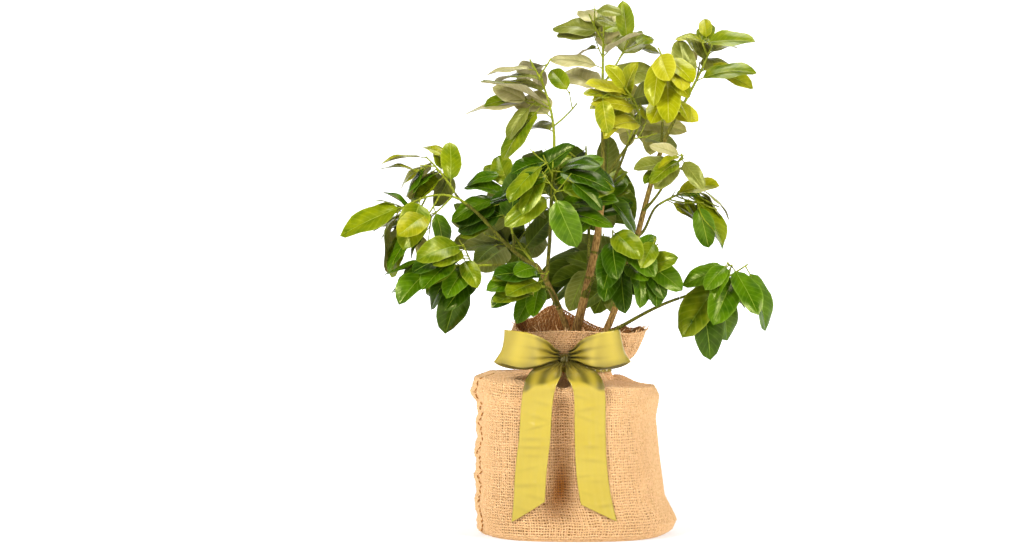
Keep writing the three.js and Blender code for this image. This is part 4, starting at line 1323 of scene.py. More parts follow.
class Spray:
    """The twigs and leaves of one mass, grown by the solids' rule and carried on to finer shoots."""

    def __init__(self, mass: Mass, crown: "Crown") -> None:
        """Grows the mass inside its own space.

        Args:
            mass: The mass and its sizes.
            crown: The crown that it is in.
        """
        self.mass = mass
        self.crown = crown
        self.twigs: list[Twig] = []
        self.leaves: list[Leaf] = []
        self.tones: list[int] = []
        self.random = seeded(mass.seed)
        self.rows: list[np.ndarray] = []
        self.grow_twigs()
        self.lines = self.wood_lines(self.twigs)
        for number, twig in enumerate(self.twigs):
            self.grow_leaves(twig, number)
        self.grow_shoots()

    def vary(self, spread: float) -> float:
        """A seeded number either side of 0."""
        return (self.random() * 2 - 1) * spread

    def wood_lines(self, twigs: Sequence[Twig]) -> tuple[np.ndarray, np.ndarray]:
        """The straight stretches of the limbs and of some twigs.

        Args:
            twigs: The twigs.

        Returns:
            Where the stretches start and where they end, as rows.
        """
        lines = [*self.crown.limb_lines, *(twig.curve.points(4) for twig in twigs)]
        return np.concatenate([line[:-1] for line in lines]), np.concatenate([line[1:] for line in lines])

    def grow_twigs(self) -> None:
        """Grows the stem on from the bough's tip, and the twigs off it."""
        mass, bough = self.mass, self.crown.wood.limbs[self.mass.bough]
        out = bough.curve.tangent(1)
        foot = bough.curve.point(1) + out * PLAY
        tip = vec(*mass.tip)
        stem = Bend((foot, foot + out * np.linalg.norm(foot - tip) / 2, tip))
        self.twigs.append(Twig(stem, (bough.radii[1], 0.9), mass.stem_leaves, 0.12))
        for i in range(mass.twigs):
            share = lerp(0.15, 0.9, (i + 0.5) / mass.twigs)
            for attempt in range(TRIES):
                bearing = i * SPIRAL + mass.seed + attempt * 0.7 + self.vary(0.6)
                direction = branch_off(stem.tangent(share), TWIG_ANGLE + self.vary(0.25), bearing)
                length = mass.twig_length * (1.1 - 0.35 * share) * (1 + self.vary(0.2))
                curve = twig_curve(stem.point(share), direction, length, 0.5 - mass.droop)
                if self.crown.fits(np.array([curve.point(s) for s in (0.45, 0.75, 1)]), mass):
                    self.twigs.append(Twig(curve, (bough.radii[1] * 0.65, 0.8), mass.twig_leaves, 0.3))
                    break

    def clear(self, leaf: Leaf) -> np.ndarray | None:
        """Tests a leaf against the mass's space and all that has grown in it.

        Args:
            leaf: The leaf.

        Returns:
            The leaf's rows, or None if it has no room.
        """
        rows = leaf.rows()
        if not self.crown.fits(rows.reshape(-1, 3), self.mass):
            return None
        if any(blades_cross(rows, other) for other in self.rows):
            return None
        return None if pierces(*self.lines, panels(rows)) else rows

    def keep(self, leaf: Leaf, rows: np.ndarray, tone: int) -> None:
        """Adds a leaf to the spray.

        Args:
            leaf: The leaf.
            rows: Its rows.
            tone: A number that its finishes are dealt by.
        """
        self.leaves.append(leaf)
        self.rows.append(rows)
        self.tones.append(tone)

    def grow_leaves(self, twig: Twig, number: int) -> None:
        """Sets leaves along a twig in a spiral, the last one at its tip.

        Args:
            twig: The twig.
            number: Its number in the mass.
        """
        mass = self.mass
        for i in range(twig.leaves + 1):
            last = i == twig.leaves
            share = 0.96 if last else lerp(twig.start, 0.94, (i + 0.5) / twig.leaves)
            for attempt in range(TRIES):
                bearing = i * SPIRAL + mass.seed * 2 + attempt * 0.9 + self.vary(0.5)
                angle = 0.3 + self.vary(0.3) if last else LEAF_ANGLE + self.vary(0.5)
                sag = mass.droop * (0.2 + 1.6 * self.random())
                along = unit(branch_off(twig.curve.tangent(share), angle, bearing) - UP * sag)
                across = self.vary(0.7)
                show = mass.show * math.copysign(1, mass.centre[1] - MIDDLE_Y) + self.vary(0.6)
                face = unit(flatten(vec(across, show, 1), along))
                length = mass.leaf * (1 + self.vary(0.2) - 0.25 * (attempt / TRIES))
                leaf = Leaf(twig.curve.point(share), along, face, length, 0.35 + 0.5 * self.random())
                rows = self.clear(leaf)
                if rows is not None:
                    self.keep(leaf, rows, number)
                    break

    def grow_shoots(self) -> None:
        """Carries the rule on to finer shoots in the axils, within the reach of what has grown."""
        mass, random = self.mass, seeded(self.mass.seed + SHOOT_SEED)
        reach = np.concatenate(self.rows).reshape(-1, 3) if self.rows else np.zeros((0, 3))
        for number, twig in enumerate(list(self.twigs)):
            for i in range(mass.shoots):
                share = lerp(0.25, 0.95, (i + random()) / mass.shoots)
                length = mass.twig_length * (0.35 + 0.4 * random())
                for attempt in range(SHOOT_TRIES):
                    bearing = i * SPIRAL + number + attempt * 0.8 + random()
                    direction = branch_off(twig.curve.tangent(share), 0.7 + 0.4 * random(), bearing)
                    curve = twig_curve(twig.curve.point(share), direction, length, 0.3)
                    line = curve.points(3)
                    if self.crown.fits(line[1:], mass) and not any(
                            pierces(line[:-1], line[1:], panels(rows)) for rows in self.rows):
                        shoot = Twig(curve, (0.75, 0.45), 2, 0.35)
                        if self.leaf_out(shoot, number, random, reach):
                            self.twigs.append(shoot)
                        break

    def leaf_out(self, shoot: Twig, number: int, random: Callable[[], float], reach: np.ndarray) -> bool:
        """Sets small leaves along a shoot, none further out than the leaves that `reach` holds.

        Args:
            shoot: The shoot.
            number: The number of the twig that it stands on.
            random: The shoot's own seeded numbers.
            reach: Points of the leaves that have grown.

        Returns:
            True if any leaf found room.
        """
        mass, found = self.mass, 0
        least = min(0.55, 0.31 + 0.12 * mass.shoots)
        self.lines = self.wood_lines([*self.twigs, shoot])
        for i in range(3):
            share = 0.98 if i == 2 else 0.4 + 0.35 * i
            for attempt in range(SHOOT_LEAF_TRIES):
                bearing = i * SPIRAL + number * 2 + attempt * 0.9 + random()
                angle = 0.4 if i == 2 else 0.9 + 0.3 * random()
                along = unit(branch_off(shoot.curve.tangent(share), angle, bearing)
                             - UP * mass.droop * random())
                show = mass.show * math.copysign(1, mass.centre[1] - MIDDLE_Y) + random() - 0.5
                face = unit(flatten(vec(random() - 0.5, show, 1), along))
                length = mass.leaf * (least + 0.4 * random())
                leaf = Leaf(shoot.curve.point(share), along, face, length, 0.4 + 0.5 * random())
                near = np.linalg.norm(reach - leaf.middle(1), axis=1).min() if len(reach) else math.inf
                if near > self.crown.shoot_reach:
                    continue
                rows = self.clear(leaf)
                if rows is not None:
                    self.keep(leaf, rows, number + 1)
                    found += 1
                    break
        return found > 0


@dataclass
class Crown:
    """All the twigs and leaves, joined by kind.

    A blade's ripple, wave and channel are shares of its half width, and its turns are radians along it. Points
    nearer than `merge_distance` become one.
    """

    wood: Wood
    shoot_reach: float = 16.0
    rows: int = 12
    columns: int = 8
    column_crowding: float = 1.8
    thickness: float = 0.35
    merge_distance: float = 0.004
    rib_share: float = 0.06
    channel: float = 0.06
    channel_fineness: float = 60.0
    ripple: float = 0.02
    ripple_turn: float = 26.0
    wave: float = 0.12
    wave_turn: float = 9.0
    twig_sides: int = 6
    bud: float = 1.15
    bud_seed: int = 7
    limb_lines: list[np.ndarray] = field(default_factory=list)
    sprays: list[Spray] = field(default_factory=list)

    def __post_init__(self) -> None:
        """Reads the limbs, then grows every mass."""
        self.limb_points, self.limb_radii = self.wood.samples()
        self.limb_lines = [limb.curve.points(8) for limb in self.wood.limbs.values()]
        self.centres = np.array([mass.centre for mass in MASSES], float)
        self.radii = np.array([mass.radii for mass in MASSES], float)
        self.sprays = [Spray(mass, self) for mass in MASSES]

    def fits(self, points: np.ndarray, mass: Mass) -> bool:
        """Whether points are in a mass's own space and clear of every limb.

        Args:
            points: The points, as rows.
            mass: The mass.

        Returns:
            True if all of them are.
        """
        shares = np.linalg.norm((points[:, None] - self.centres) / self.radii, axis=2)
        own = MASSES.index(mass)
        mine = shares[:, own]
        if (mine >= 1).any() or (np.delete(shares, own, axis=1).min(axis=1) <= mine + SPACE_MARGIN).any():
            return False
        gaps = np.linalg.norm(points[:, None] - self.limb_points, axis=2)
        return bool((gaps > self.limb_radii + LIMB_SPACING).all())

    def blade_tree(self, palette: Palette) -> GeometryTree:
        """The tree that sets a blade on every leaf's point and bends it by that leaf's own sizes.

        Args:
            palette: The finishes that the sprays are dealt from.

        Returns:
            The tree.
        """
        finishes = {"Top": palette.tops, "Back": palette.backs}
        sizes: dict[str, float | int | Material] = {
            "Rows": self.rows, "Columns": self.columns, "Thickness": self.thickness * MM,
            "Rib": palette.rib.material()}
        for label, choices in finishes.items():
            sizes |= {f"{label} {i}": finish.material() for i, finish in enumerate(choices)}
        tree = GeometryTree(f"blades_{palette.slot}", sizes)
        upper = self.unit_blade(tree, 1.0)
        lower = self.unit_blade(tree, -1.0)
        blade = tree.add("GeometryNodeJoinGeometry")
        for part in (lower, upper):
            tree.tree.links.new(part, blade.inputs[0])
        spread = tree.add("GeometryNodeInstanceOnPoints", {
            "Points": tree.start.outputs[0], "Instance": blade.outputs[0]})
        real = tree.add("GeometryNodeRealizeInstances", {0: spread.outputs[0]}).outputs[0]
        bent = tree.add("GeometryNodeSetPosition", {"Geometry": real, "Position": self.blade_place(tree)})
        merged = tree.add("GeometryNodeMergeByDistance", {
            "Geometry": bent.outputs[0], "Distance": self.merge_distance * MM}).outputs[0]
        angle = tree.term(tree.add("GeometryNodeInputMeshEdgeAngle"))
        merged = tree.store(merged, "sharp_edge", -angle < -1.0, "BOOLEAN", "EDGE")
        painted = tree.add("GeometryNodeSetShadeSmooth", {0: merged}).outputs[0]
        for label, choices in finishes.items():
            tone = tree.named("tone" if label == "Top" else "back_tone")
            side = tree.named("upper") * (-1.0 if label == "Top" else 1.0) < 0.0
            for i in range(len(choices)):
                mine = (tone - float(i)).size() < 0.5
                painted = tree.paint(painted, tree.size(f"{label} {i}").socket, mine * side)
        rib = tree.named("across").size() < self.rib_share
        tree.feed(tree.end.inputs[0], tree.paint(painted, tree.size("Rib").socket, rib))
        return tree

    def unit_blade(self, tree: GeometryTree, upper: float) -> Socket:
        """One face of a flat blade, as a grid that knows where each point is along and across it.

        Args:
            tree: The tree that the nodes go into.
            upper: 1 for the upper face and -1 for the lower one.

        Returns:
            The grid.
        """
        grid = tree.add("GeometryNodeMeshGrid", {
            "Size X": 1.0, "Size Y": 2.0,
            "Vertices X": tree.size("Rows"), "Vertices Y": tree.size("Columns")})
        place = tree.add("ShaderNodeSeparateXYZ", {0: tree.add("GeometryNodeInputPosition").outputs[0]})
        along, across = tree.term(place, "X") + 0.5, tree.term(place, "Y")
        across = across.sign() * across.size() ** self.column_crowding
        mesh = tree.store(grid.outputs[0], "along_blade", along)
        mesh = tree.store(mesh, "across", across)
        mesh = tree.store(mesh, "upper", upper, domain="FACE")
        layout = tree.add("ShaderNodeCombineXYZ", {0: tree.named("along_blade"),
                                                   1: tree.named("across") * 0.5 + 0.5})
        mesh = tree.store(mesh, "UVMap", tree.term(layout), "FLOAT2", "CORNER")
        if upper < 0:
            mesh = tree.add("GeometryNodeFlipFaces", {0: mesh}).outputs[0]
        return mesh

    def blade_place(self, tree: GeometryTree) -> Term:
        """Where each point of a blade goes: arched along, folded and curled across, and a little twisted.

        Args:
            tree: The tree that the nodes go into.

        Returns:
            The place.
        """
        u, v = tree.named("along_blade"), tree.named("across")
        length, arch = tree.named("length"), tree.named("arch")
        foot = tree.named("foot", "FLOAT_VECTOR")
        along, face = tree.named("pointing", "FLOAT_VECTOR"), tree.named("facing", "FLOAT_VECTOR")
        side = tree.vector("CROSS_PRODUCT", face, along)
        angle = arch * u
        width = (u ** BLADE_BASE) * ((u * -1.0 + 1.0) ** BLADE_TIP) * (LEAF_WIDTH / 2 / BLADE_PEAK)
        ripple = (u * self.ripple_turn + tree.named("phase") * 6.0).sin() * v.size() * self.ripple + 1.0
        half = length * width * ripple * tree.named("breadth")
        twist = tree.named("twist") * (u - 0.2)
        normal = face.times(angle.cos()).plus(along.times(angle.sin()))
        wide = side.times(twist.cos()).plus(normal.times(twist.sin()))
        proud = normal.times(twist.cos()).plus(side.times(-(twist.sin())))
        wave = (u * self.wave_turn + tree.named("phase") * 6.3).sin() * v * v * self.wave
        lift = half * (v.size() * tree.named("fold") - v * v * tree.named("curl") + wave)
        inside = (v * v * -1.0 + 1.0) * ((u * (u * -1.0 + 1.0) * 4.0) ** 0.5)
        lift = lift + inside * tree.named("upper") * (tree.size("Thickness") * 0.5)
        lift = lift - (v * v * -self.channel_fineness).exp() * half * self.channel
        place = foot.plus(along.times(length * angle.sin() / arch))
        place = place.plus(face.times(-(length * (-angle.cos() + 1.0) / arch)))
        return place.plus(wide.times(v * half)).plus(proud.times(lift))

    def leaves(self, tint: Tint) -> Object:
        """Joins every leaf of one tint.

        Args:
            tint: Which masses' leaves.

        Returns:
            The piece.
        """
        palette = PALETTES[tint]
        base, rows = Shape(), []
        for spray in self.sprays:
            if spray.mass.tint is not tint:
                continue
            random = seeded(spray.mass.seed + LOOK_SEED)
            for leaf, tone in zip(spray.leaves, spray.tones):
                base.points.append(leaf.foot)
                rows.append({
                    "foot": leaf.foot * MM, "pointing": leaf.along, "facing": leaf.face,
                    "length": leaf.length * MM, "arch": leaf.arch, "fold": 0.18 + 0.3 * random(),
                    "curl": 0.1 + 0.25 * random(), "twist": (random() - 0.5) * 0.7, "phase": random(),
                    "breadth": 1.02 + 0.2 * random(),
                    "tone": (tone * 2 + int(random() * 2)) % len(palette.tops),
                    "back_tone": tone % len(palette.backs)})
        base.marks = {key: [row[key] for row in rows] for key in rows[0]}
        name = f"leaves_{tint.value}"
        return self.blade_tree(palette).grow(base.object(f"{name}_points"), name)

    def twig_tree(self) -> GeometryTree:
        """The tree that gives every twig and leaf stalk its thickness.

        Returns:
            The tree.
        """
        tree = GeometryTree("twigs_and_stalks", {"Sides": self.twig_sides, "Bark": TWIG.material()})
        tree.finish(tree.tube(), "Bark")
        return tree

    def twigs(self) -> Object:
        """Joins every stem, twig and leaf stalk.

        Returns:
            The piece.
        """
        base = Shape()
        for spray in self.sprays:
            for twig in spray.twigs:
                steps = 8 if twig.radii[0] > 1.2 else 5
                shares = [i / steps for i in range(steps + 1)]
                thick = [lerp(*twig.radii, share) for share in shares]
                base.line(list(twig.curve.points(steps)), thick=thick,
                          age=[float(smoothstep(r, 1.5, 3.4)) for r in thick])
            for leaf in spray.leaves:
                stout = 0.35 + 0.006 * leaf.length
                places = [leaf.root, lerp(leaf.root, leaf.foot, 0.5), lerp(leaf.root, leaf.foot, 0.94),
                          leaf.middle(0.06)]
                base.line(places, thick=[stout * 1.35, stout * 0.85, stout, stout * 0.45], age=0.0)
        return self.twig_tree().grow(base.object("twig_lines"), "twigs")

    def bud_tree(self) -> GeometryTree:
        """The tree that sets a bud in the axil of every leaf.

        Returns:
            The tree.
        """
        tree = GeometryTree("axil_buds", {
            "Size": self.bud * MM, "Seed": self.bud_seed, "Bud": BUD.material()})
        egg = tree.add("GeometryNodeMeshIcoSphere", {"Radius": tree.size("Size"), "Subdivisions": 1})
        size = tree.add("FunctionNodeRandomValue", {2: 0.7, 3: 1.3, "Seed": tree.size("Seed")})
        spread = tree.add("GeometryNodeInstanceOnPoints", {
            "Points": tree.start.outputs[0], "Instance": egg.outputs[0], "Scale": size.outputs[1]})
        tree.finish(spread.outputs[0], "Bud")
        return tree

    def buds(self) -> Object:
        """Joins every bud.

        Returns:
            The piece.
        """
        base = Shape()
        for spray in self.sprays:
            base.points.extend(leaf.root + leaf.along * 0.6 + UP * 0.7 for leaf in spray.leaves)
        return self.bud_tree().grow(base.object("bud_points"), "axil_buds")

    def dress(self) -> list[Object]:
        """Puts the leaves, twigs and buds in the masses' place.

        Returns:
            The pieces.
        """
        made = []
        for tint in Tint:
            piece = self.leaves(tint)
            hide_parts(*(mass.name for mass in MASSES if mass.tint is tint))
            made.append(piece)
        twigs, buds = self.twigs(), self.buds()
        made += [twigs, buds]
        for piece in made:
            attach(piece, "root")
        return made


# The sack

# Each row has a height, where the cloth ends on the left and on the right, its depth to either side, and how
# far its left stands above the rest
OUTLINES = np.array([
    (0, -98, 100, 85, 0), (6, -106, 111, 90, 0), (17, -108, 116, 91, 0), (44, -109, 102, 91, 0),
    (90, -109, 96, 90, 0), (132, -107, 92, 89, 0), (148, -108, 95, 89, 2), (157, -114, 96, 89, 4),
    (167, -110, 91, 83, 9), (169, -94, 72, 68, 13), (173, -60, 47, 48, 10), (190, -41, 38, 38, 0),
    (195, -46, 58, 41, 0), (200, -58, 67, 45, 0), (207, -74, 72, 51, 0), (214, -74, 75, 58, 0),
    (228, -66, 79, 68, 0)], float)
# Each row has how far a lobe of the collar stands up, where it is in half turns, and how wide it is
LOBES = ((28, 0.6, 0.42), (12, 0.84, 0.25), (5, 0.27, 0.22), (3, 0.1, 0.15))
SHOULDER_HEIGHT, NECK_HEIGHT, FLARE_HEIGHT, RIM_HEIGHT = 167, 190, 200, 228


class Yarn(Enum):
    """The yarns that run up the sack, and those that run round it."""

    WARP = "warp"
    WEFT = "weft"


@dataclass
class Sack:
    """Loosely woven burlap: yarns over and under each other, gathered at the neck, over a darker ply that
    paints the shade seen through the weave.

    `squareness` is how near the outline comes to a rectangle: 2 is an oval. `pitch` is the weft's, and
    `measure_angle` is where it is measured. `inside` is how much shade is painted on the collar's yarns where
    they face inwards.
    """

    squareness: float = 2.5
    seam_reach: float = 5
    seam_width: float = 0.16
    pleats: int = 19
    pleat_depth: float = 4.0
    warps: int = 216
    warp_height: float = 90.0
    warp_samples: int = 4001
    pitch: float = 3.0
    measure_angle: float = 1.35 * math.pi
    measure_samples: int = 1200
    yarn: float = 0.92
    crimp: float = 0.55
    slub_length: int = 9
    sides: int = 4
    inside: float = 0.92
    backing_inset: float = 1.5
    backing_top: float = 226
    backing_columns: int = 160
    thread_sides: int = 5
    stitch_pitch: float = 5.4
    stitch_points: int = 7
    stitch_inset: float = 5.0
    seam_samples: int = 90
    rim_threads: int = 170
    seam_threads: int = 240
    fold_x: float = -15
    fold_width: float = 13.5
    fold_depth: float = 10
    seed: int = 41

    def __post_init__(self) -> None:
        """Spaces the weft rows evenly along the cloth, from the ground to the rim."""
        levels = np.linspace(0, RIM_HEIGHT, self.measure_samples)
        reach = distances(self.surface(levels, np.full(self.measure_samples, self.measure_angle)))
        self.rows = round(reach[-1] / self.pitch)
        self.levels = np.interp(np.linspace(0, reach[-1], self.rows), reach, levels)

    def squarish(self, value: np.ndarray) -> np.ndarray:
        """A cosine or sine with its corners pushed out, so that the outline is a rounded rectangle."""
        return np.sign(value) * np.abs(value) ** (2 / self.squareness)

    def surface(self, height: np.ndarray, angle: np.ndarray, inset: float | np.ndarray = 0) -> np.ndarray:
        """The cloth's middle surface.

        Args:
            height: The station height of each point, in millimetres.
            angle: The angle round the sack of each point, in radians.
            inset: How far inside the cloth to go.

        Returns:
            The points, one for each height and angle.
        """
        left, right, depth, left_rise = (np.interp(height, OUTLINES[:, 0], row) for row in OUTLINES.T[1:])
        angle = np.mod(angle, 2 * math.pi)
        c, s = np.cos(angle), np.sin(angle)
        middle, half = (left + right) / 2, (right - left) / 2 - inset
        below = smoothstep(-height, -SHOULDER_HEIGHT - 3, -SHOULDER_HEIGHT + 4)
        near_left = np.abs(angle - math.pi)
        near_right = np.minimum(angle, 2 * math.pi - angle)
        wavy = 1 + 0.22 * np.sin(height * 0.21 + 0.5) + 0.12 * np.sin(height * 0.5)
        seam = below * self.seam_reach * (wavy * np.exp(-(near_left / self.seam_width) ** 2)
                                          + np.exp(-(near_right / self.seam_width) ** 2))
        flare = smoothstep(height, FLARE_HEIGHT, RIM_HEIGHT)
        ruffle = flare * 3 * np.sin(5 * angle + 1)
        rise = flare * (self.lobes(angle) + 1.5 * np.sin(3 * angle + 0.6)) + left_rise * np.maximum(0, -c)
        pushed = ruffle - self.pleat(height, angle)
        x = middle + self.squarish(c) * (half - self.seam_reach * below) + np.sign(c) * seam + c * pushed
        y = self.squarish(s) * (depth - inset) + s * pushed + self.fold_depth * self.valley(x, height, s < 0)
        z = height + rise + self.sag(height, angle)
        return np.stack([x, y, z], axis=-1)

    def lobes(self, angle: np.ndarray) -> np.ndarray:
        """How far the collar's rim stands up: highest at the back left, with a low lobe each side."""
        return sum(rise * np.exp(-((angle - turn * math.pi) / width) ** 2) for rise, turn, width in LOBES)

    def valley(self, x: np.ndarray, height: np.ndarray, front: np.ndarray) -> np.ndarray:
        """How deep a place lies in the long fold down the front.

        Args:
            x: How far to the right each place is.
            height: Its height.
            front: Whether it is on the sack's front.

        Returns:
            A number from 0 to 1 for each place.
        """
        length = smoothstep(height, -10, 70) * (1 - smoothstep(height, 150, 165))
        low = 1 - smoothstep(height, 10, 70)
        aside = np.abs(x - self.fold_x + 7 * low) / (self.fold_width + 8 * low)
        return np.where(front, length, 0.0) * np.exp(-aside ** 2.5)

    def pleat(self, height: np.ndarray, angle: np.ndarray) -> np.ndarray:
        """How far the gathers draw the cloth in: deepest at the neck, gone at the shoulder's edge.

        Args:
            height: The station height of each place.
            angle: Its angle round the sack.

        Returns:
            The distance for each place.
        """
        tight = smoothstep(height, 166, 178) * (1 - 0.72 * smoothstep(height, 196, 222))
        wobble = 0.5 * np.sin(3 * angle + 0.4) + 0.35 * np.sin(7 * angle + 2)
        wave = 0.5 + 0.5 * np.cos(self.pleats * angle + 2.4 * wobble)
        return tight * self.pleat_depth * wave

    def sag(self, height: np.ndarray, angle: np.ndarray) -> np.ndarray:
        """How far the loose shoulder stands above or below its station, in soft waves.

        Args:
            height: The station height of each place.
            angle: Its angle round the sack.

        Returns:
            The distance for each place.
        """
        shoulder = np.exp(-((height - 163) / 9) ** 2)
        waves = shoulder * (1.3 * np.sin(4 * angle + 0.9) + 0.7 * np.sin(9 * angle))
        aside = np.minimum(angle, 2 * math.pi - angle)
        ruck = 7 * np.exp(-(aside / 0.22) ** 2 - ((height - 172) / 2.4) ** 2)
        back = smoothstep(height, 140, 160) * (1 - smoothstep(height, 171, 180))
        fall = 5 * back * (0.5 + 0.5 * np.cos(angle)) * smoothstep(np.sin(angle), -0.3, 0.6)
        return waves + ruck - fall

    def fullness(self, grid: np.ndarray) -> np.ndarray:
        """How much thicker than usual the yarns are: fuller to the sides, thin in the fold and at the foot.

        Args:
            grid: Places on the cloth.

        Returns:
            A factor for each place.
        """
        x, y, z = grid[..., 0], grid[..., 1], grid[..., 2]
        side = smoothstep(np.abs(x - self.fold_x), 14, 34)
        foot = 1 - smoothstep(z, 12, 62)
        body = 1.0 + 0.16 * side * (1 - 0.75 * foot)
        return np.where(z > FLARE_HEIGHT, 1.2, np.where(y < 0, body, 1.12))

    def shade(self, grid: np.ndarray) -> np.ndarray:
        """How much shade is painted on the cloth: down the front fold, stronger low down, and on the collar's
        front behind the bow.

        Args:
            grid: Places on the cloth.

        Returns:
            A number from 0 to 1 for each place.
        """
        x, y, z = grid[..., 0], grid[..., 1], grid[..., 2]
        # Painted shade down the front fold, stronger towards the foot
        deep = 0.5 + 0.65 * (1 - smoothstep(z, 40, 120))
        fold = deep * self.valley(x, z, y < 0) * smoothstep(z, 8, 30)
        # Painted shade on the collar's front, behind the bow
        collar = 0.3 * smoothstep(z, NECK_HEIGHT, FLARE_HEIGHT) * np.exp(-((x + 6) / 28) ** 2) * (y < 0)
        return np.clip(np.maximum(fold, collar), 0, 1)

    def normals(self, grid: np.ndarray) -> np.ndarray:
        """The way out of the cloth.

        Args:
            grid: Points in rows that run round the sack.

        Returns:
            The outward direction at each point.
        """
        around = np.roll(grid, -1, axis=1) - np.roll(grid, 1, axis=1)
        up = np.gradient(grid, axis=0)
        out = np.cross(around, up)
        return out / np.maximum(np.linalg.norm(out, axis=2, keepdims=True), 1e-9)

    def weave(self) -> tuple[np.ndarray, np.ndarray]:
        """Where warp and weft cross, each crossing a little out of line.

        Returns:
            The crossings in rows that run round the sack, and the outward direction at each.
        """
        random = np.random.default_rng(self.seed)
        angles = self.warp_angles()
        drift = random.normal(0, 0.12, (self.rows, self.warps))
        drift = (drift + np.roll(drift, 1, 0) + np.roll(drift, -1, 0) + np.roll(drift, 1, 1)) / 2
        step = np.gradient(angles)
        level_step = np.gradient(self.levels)
        heights = self.levels[:, None] + drift * level_step[:, None]
        slip = random.normal(0, 0.13, (self.rows, self.warps))
        slip = (slip + np.roll(slip, 1, 0) + np.roll(slip, -1, 0)) / 2
        heights[0], heights[-1] = self.levels[0], self.levels[-1]
        grid = self.surface(heights, angles[None] + slip * step[None])
        return grid, self.normals(grid)

    def warp_angles(self) -> np.ndarray:
        """Where the warps stand, evenly spaced along the cloth at half height.

        Returns:
            Their angles round the sack.
        """
        fine = np.linspace(0, 2 * math.pi, self.warp_samples)
        reach = distances(self.surface(np.full(self.warp_samples, self.warp_height), fine))
        return np.interp(np.arange(self.warps) / self.warps * reach[-1], reach, fine)

    def yarn_tree(self, name: str) -> GeometryTree:
        """The tree that gives each yarn its thickness, and paints shade on the collar's yarns where they face
        inwards.

        Args:
            name: The tree's name.

        Returns:
            The tree.
        """
        tree = GeometryTree(name, {"Sides": self.sides, "Inside": self.inside, "Yarn": BURLAP.material()})
        place = tree.term(tree.add("GeometryNodeInputPosition"))
        radial = tree.vector("NORMALIZE", tree.vector("MULTIPLY", place, (1.0, 1.0, 0.0)))
        facing = tree.vector("DOT_PRODUCT", tree.term(tree.add("GeometryNodeInputNormal")), radial)
        # Painted shade on the inward-facing side of the collar's yarns, added to the shade each point keeps
        inner = (facing < 0.1) * tree.named("collar") * tree.size("Inside")
        tree.finish(tree.store(tree.tube(), "shade", tree.named("shade") + inner), "Yarn")
        return tree

    def lay(self, base: Shape, line: np.ndarray, random: np.random.Generator) -> None:
        """Adds a yarn, uneven along its length as jute is spun, and clear of the ground.

        Args:
            base: The shape that it is added to.
            line: Its centre line.
            random: The seeded numbers for its thickness.
        """
        slub_count = max(4, len(line) // self.slub_length)
        slubs = np.interp(np.linspace(0, 1, len(line)), np.linspace(0, 1, slub_count),
                          random.normal(0, 1, slub_count))
        thick = self.yarn * np.clip(random.normal(1, 0.09) + 0.11 * slubs, 0.6, 1.4) * self.fullness(line)
        line = line.copy()
        line[:, 2] = np.maximum(line[:, 2], thick)
        collar = smoothstep(line[:, 2], FLARE_HEIGHT, FLARE_HEIGHT + 10)
        # Each point keeps its painted shade and how far into the collar it is
        base.line(list(line), thick=list(thick), shade=list(self.shade(line)), collar=list(collar))

    def yarns(self, kind: Yarn) -> Object:
        """Lays the yarns that run one way, over and under those that cross them.

        Args:
            kind: Which yarns.

        Returns:
            The piece.
        """
        grid, out = self.weave()
        seed, lift = (1, self.crimp) if kind is Yarn.WARP else (2, -self.crimp)
        if kind is Yarn.WARP:
            grid, out = grid.swapaxes(0, 1), out.swapaxes(0, 1)
        random, base = np.random.default_rng(self.seed + seed), Shape()
        for number, (line, away) in enumerate(zip(grid, out)):
            parity = (np.arange(len(line)) + number) % 2 * 2.0 - 1
            start = len(base.points)
            self.lay(base, line + away * parity[:, None] * lift, random)
            if kind is Yarn.WEFT:
                base.edges.append((start + len(line) - 1, start))
        return self.yarn_tree(f"{kind.value}_yarns").grow(
            base.object(f"{kind.value}_lines"), f"burlap_{kind.value}")

    def backing(self) -> Object:
        """Makes the ply behind the open weave, closed across the base, whose darker colour paints the shade
        seen through the gaps. In the collar it is amid the yarns, and its inner face there gets painted shade.

        Returns:
            The piece.
        """
        heights, around = self.levels[self.levels < self.backing_top], self.backing_columns
        angles = np.linspace(0, 2 * math.pi, around, endpoint=False)
        rings, inner = [], []
        for height in heights:
            loose = float(smoothstep(height, NECK_HEIGHT, FLARE_HEIGHT))
            outside, inside = lerp(self.backing_inset, -0.2, loose), lerp(self.backing_inset + 1, 0.2, loose)
            ring = self.surface(np.full(around, height), angles, outside)
            ring[:, 2] = np.maximum(ring[:, 2], 1.4)
            rings.append(ring)
            inner.append(self.surface(np.full(around, height), angles, inside))
        shape = Shape()
        floor = [np.array([[0, 0, 0.9]]) + (rings[0] - [0, 0, 1.4]) * share for share in (0.05, 0.4, 0.75)]
        inner[0][:, 2] = np.maximum(inner[0][:, 2], 2.2)
        floor_in = [np.array([[0, 0, 1.7]]) + (rings[0] - [0, 0, 1.4]) * share for share in (0.75, 0.4, 0.05)]
        shape.rings([*floor, *rings, *reversed(inner), *floor_in])
        places = np.array(shape.points)
        within = np.arange(len(places)) >= (len(floor) + len(rings)) * around
        # Painted shade on the ply's inner face within the collar
        painted_inner_shade = 0.7 * within * smoothstep(places[:, 2], NECK_HEIGHT, FLARE_HEIGHT)
        shape.marks["shade"] = list(np.maximum(self.shade(places), painted_inner_shade))
        return shape.object("burlap_ply", SHADE_PLY)

    def thread_tree(self, name: str, finish: Finish) -> GeometryTree:
        """The tree that gives loose threads and stitches their thickness.

        Args:
            name: The tree's name.
            finish: The threads' material.

        Returns:
            The tree.
        """
        tree = GeometryTree(name, {"Sides": self.thread_sides, "Thread": finish.material()})
        tree.finish(tree.tube(), "Thread")
        return tree

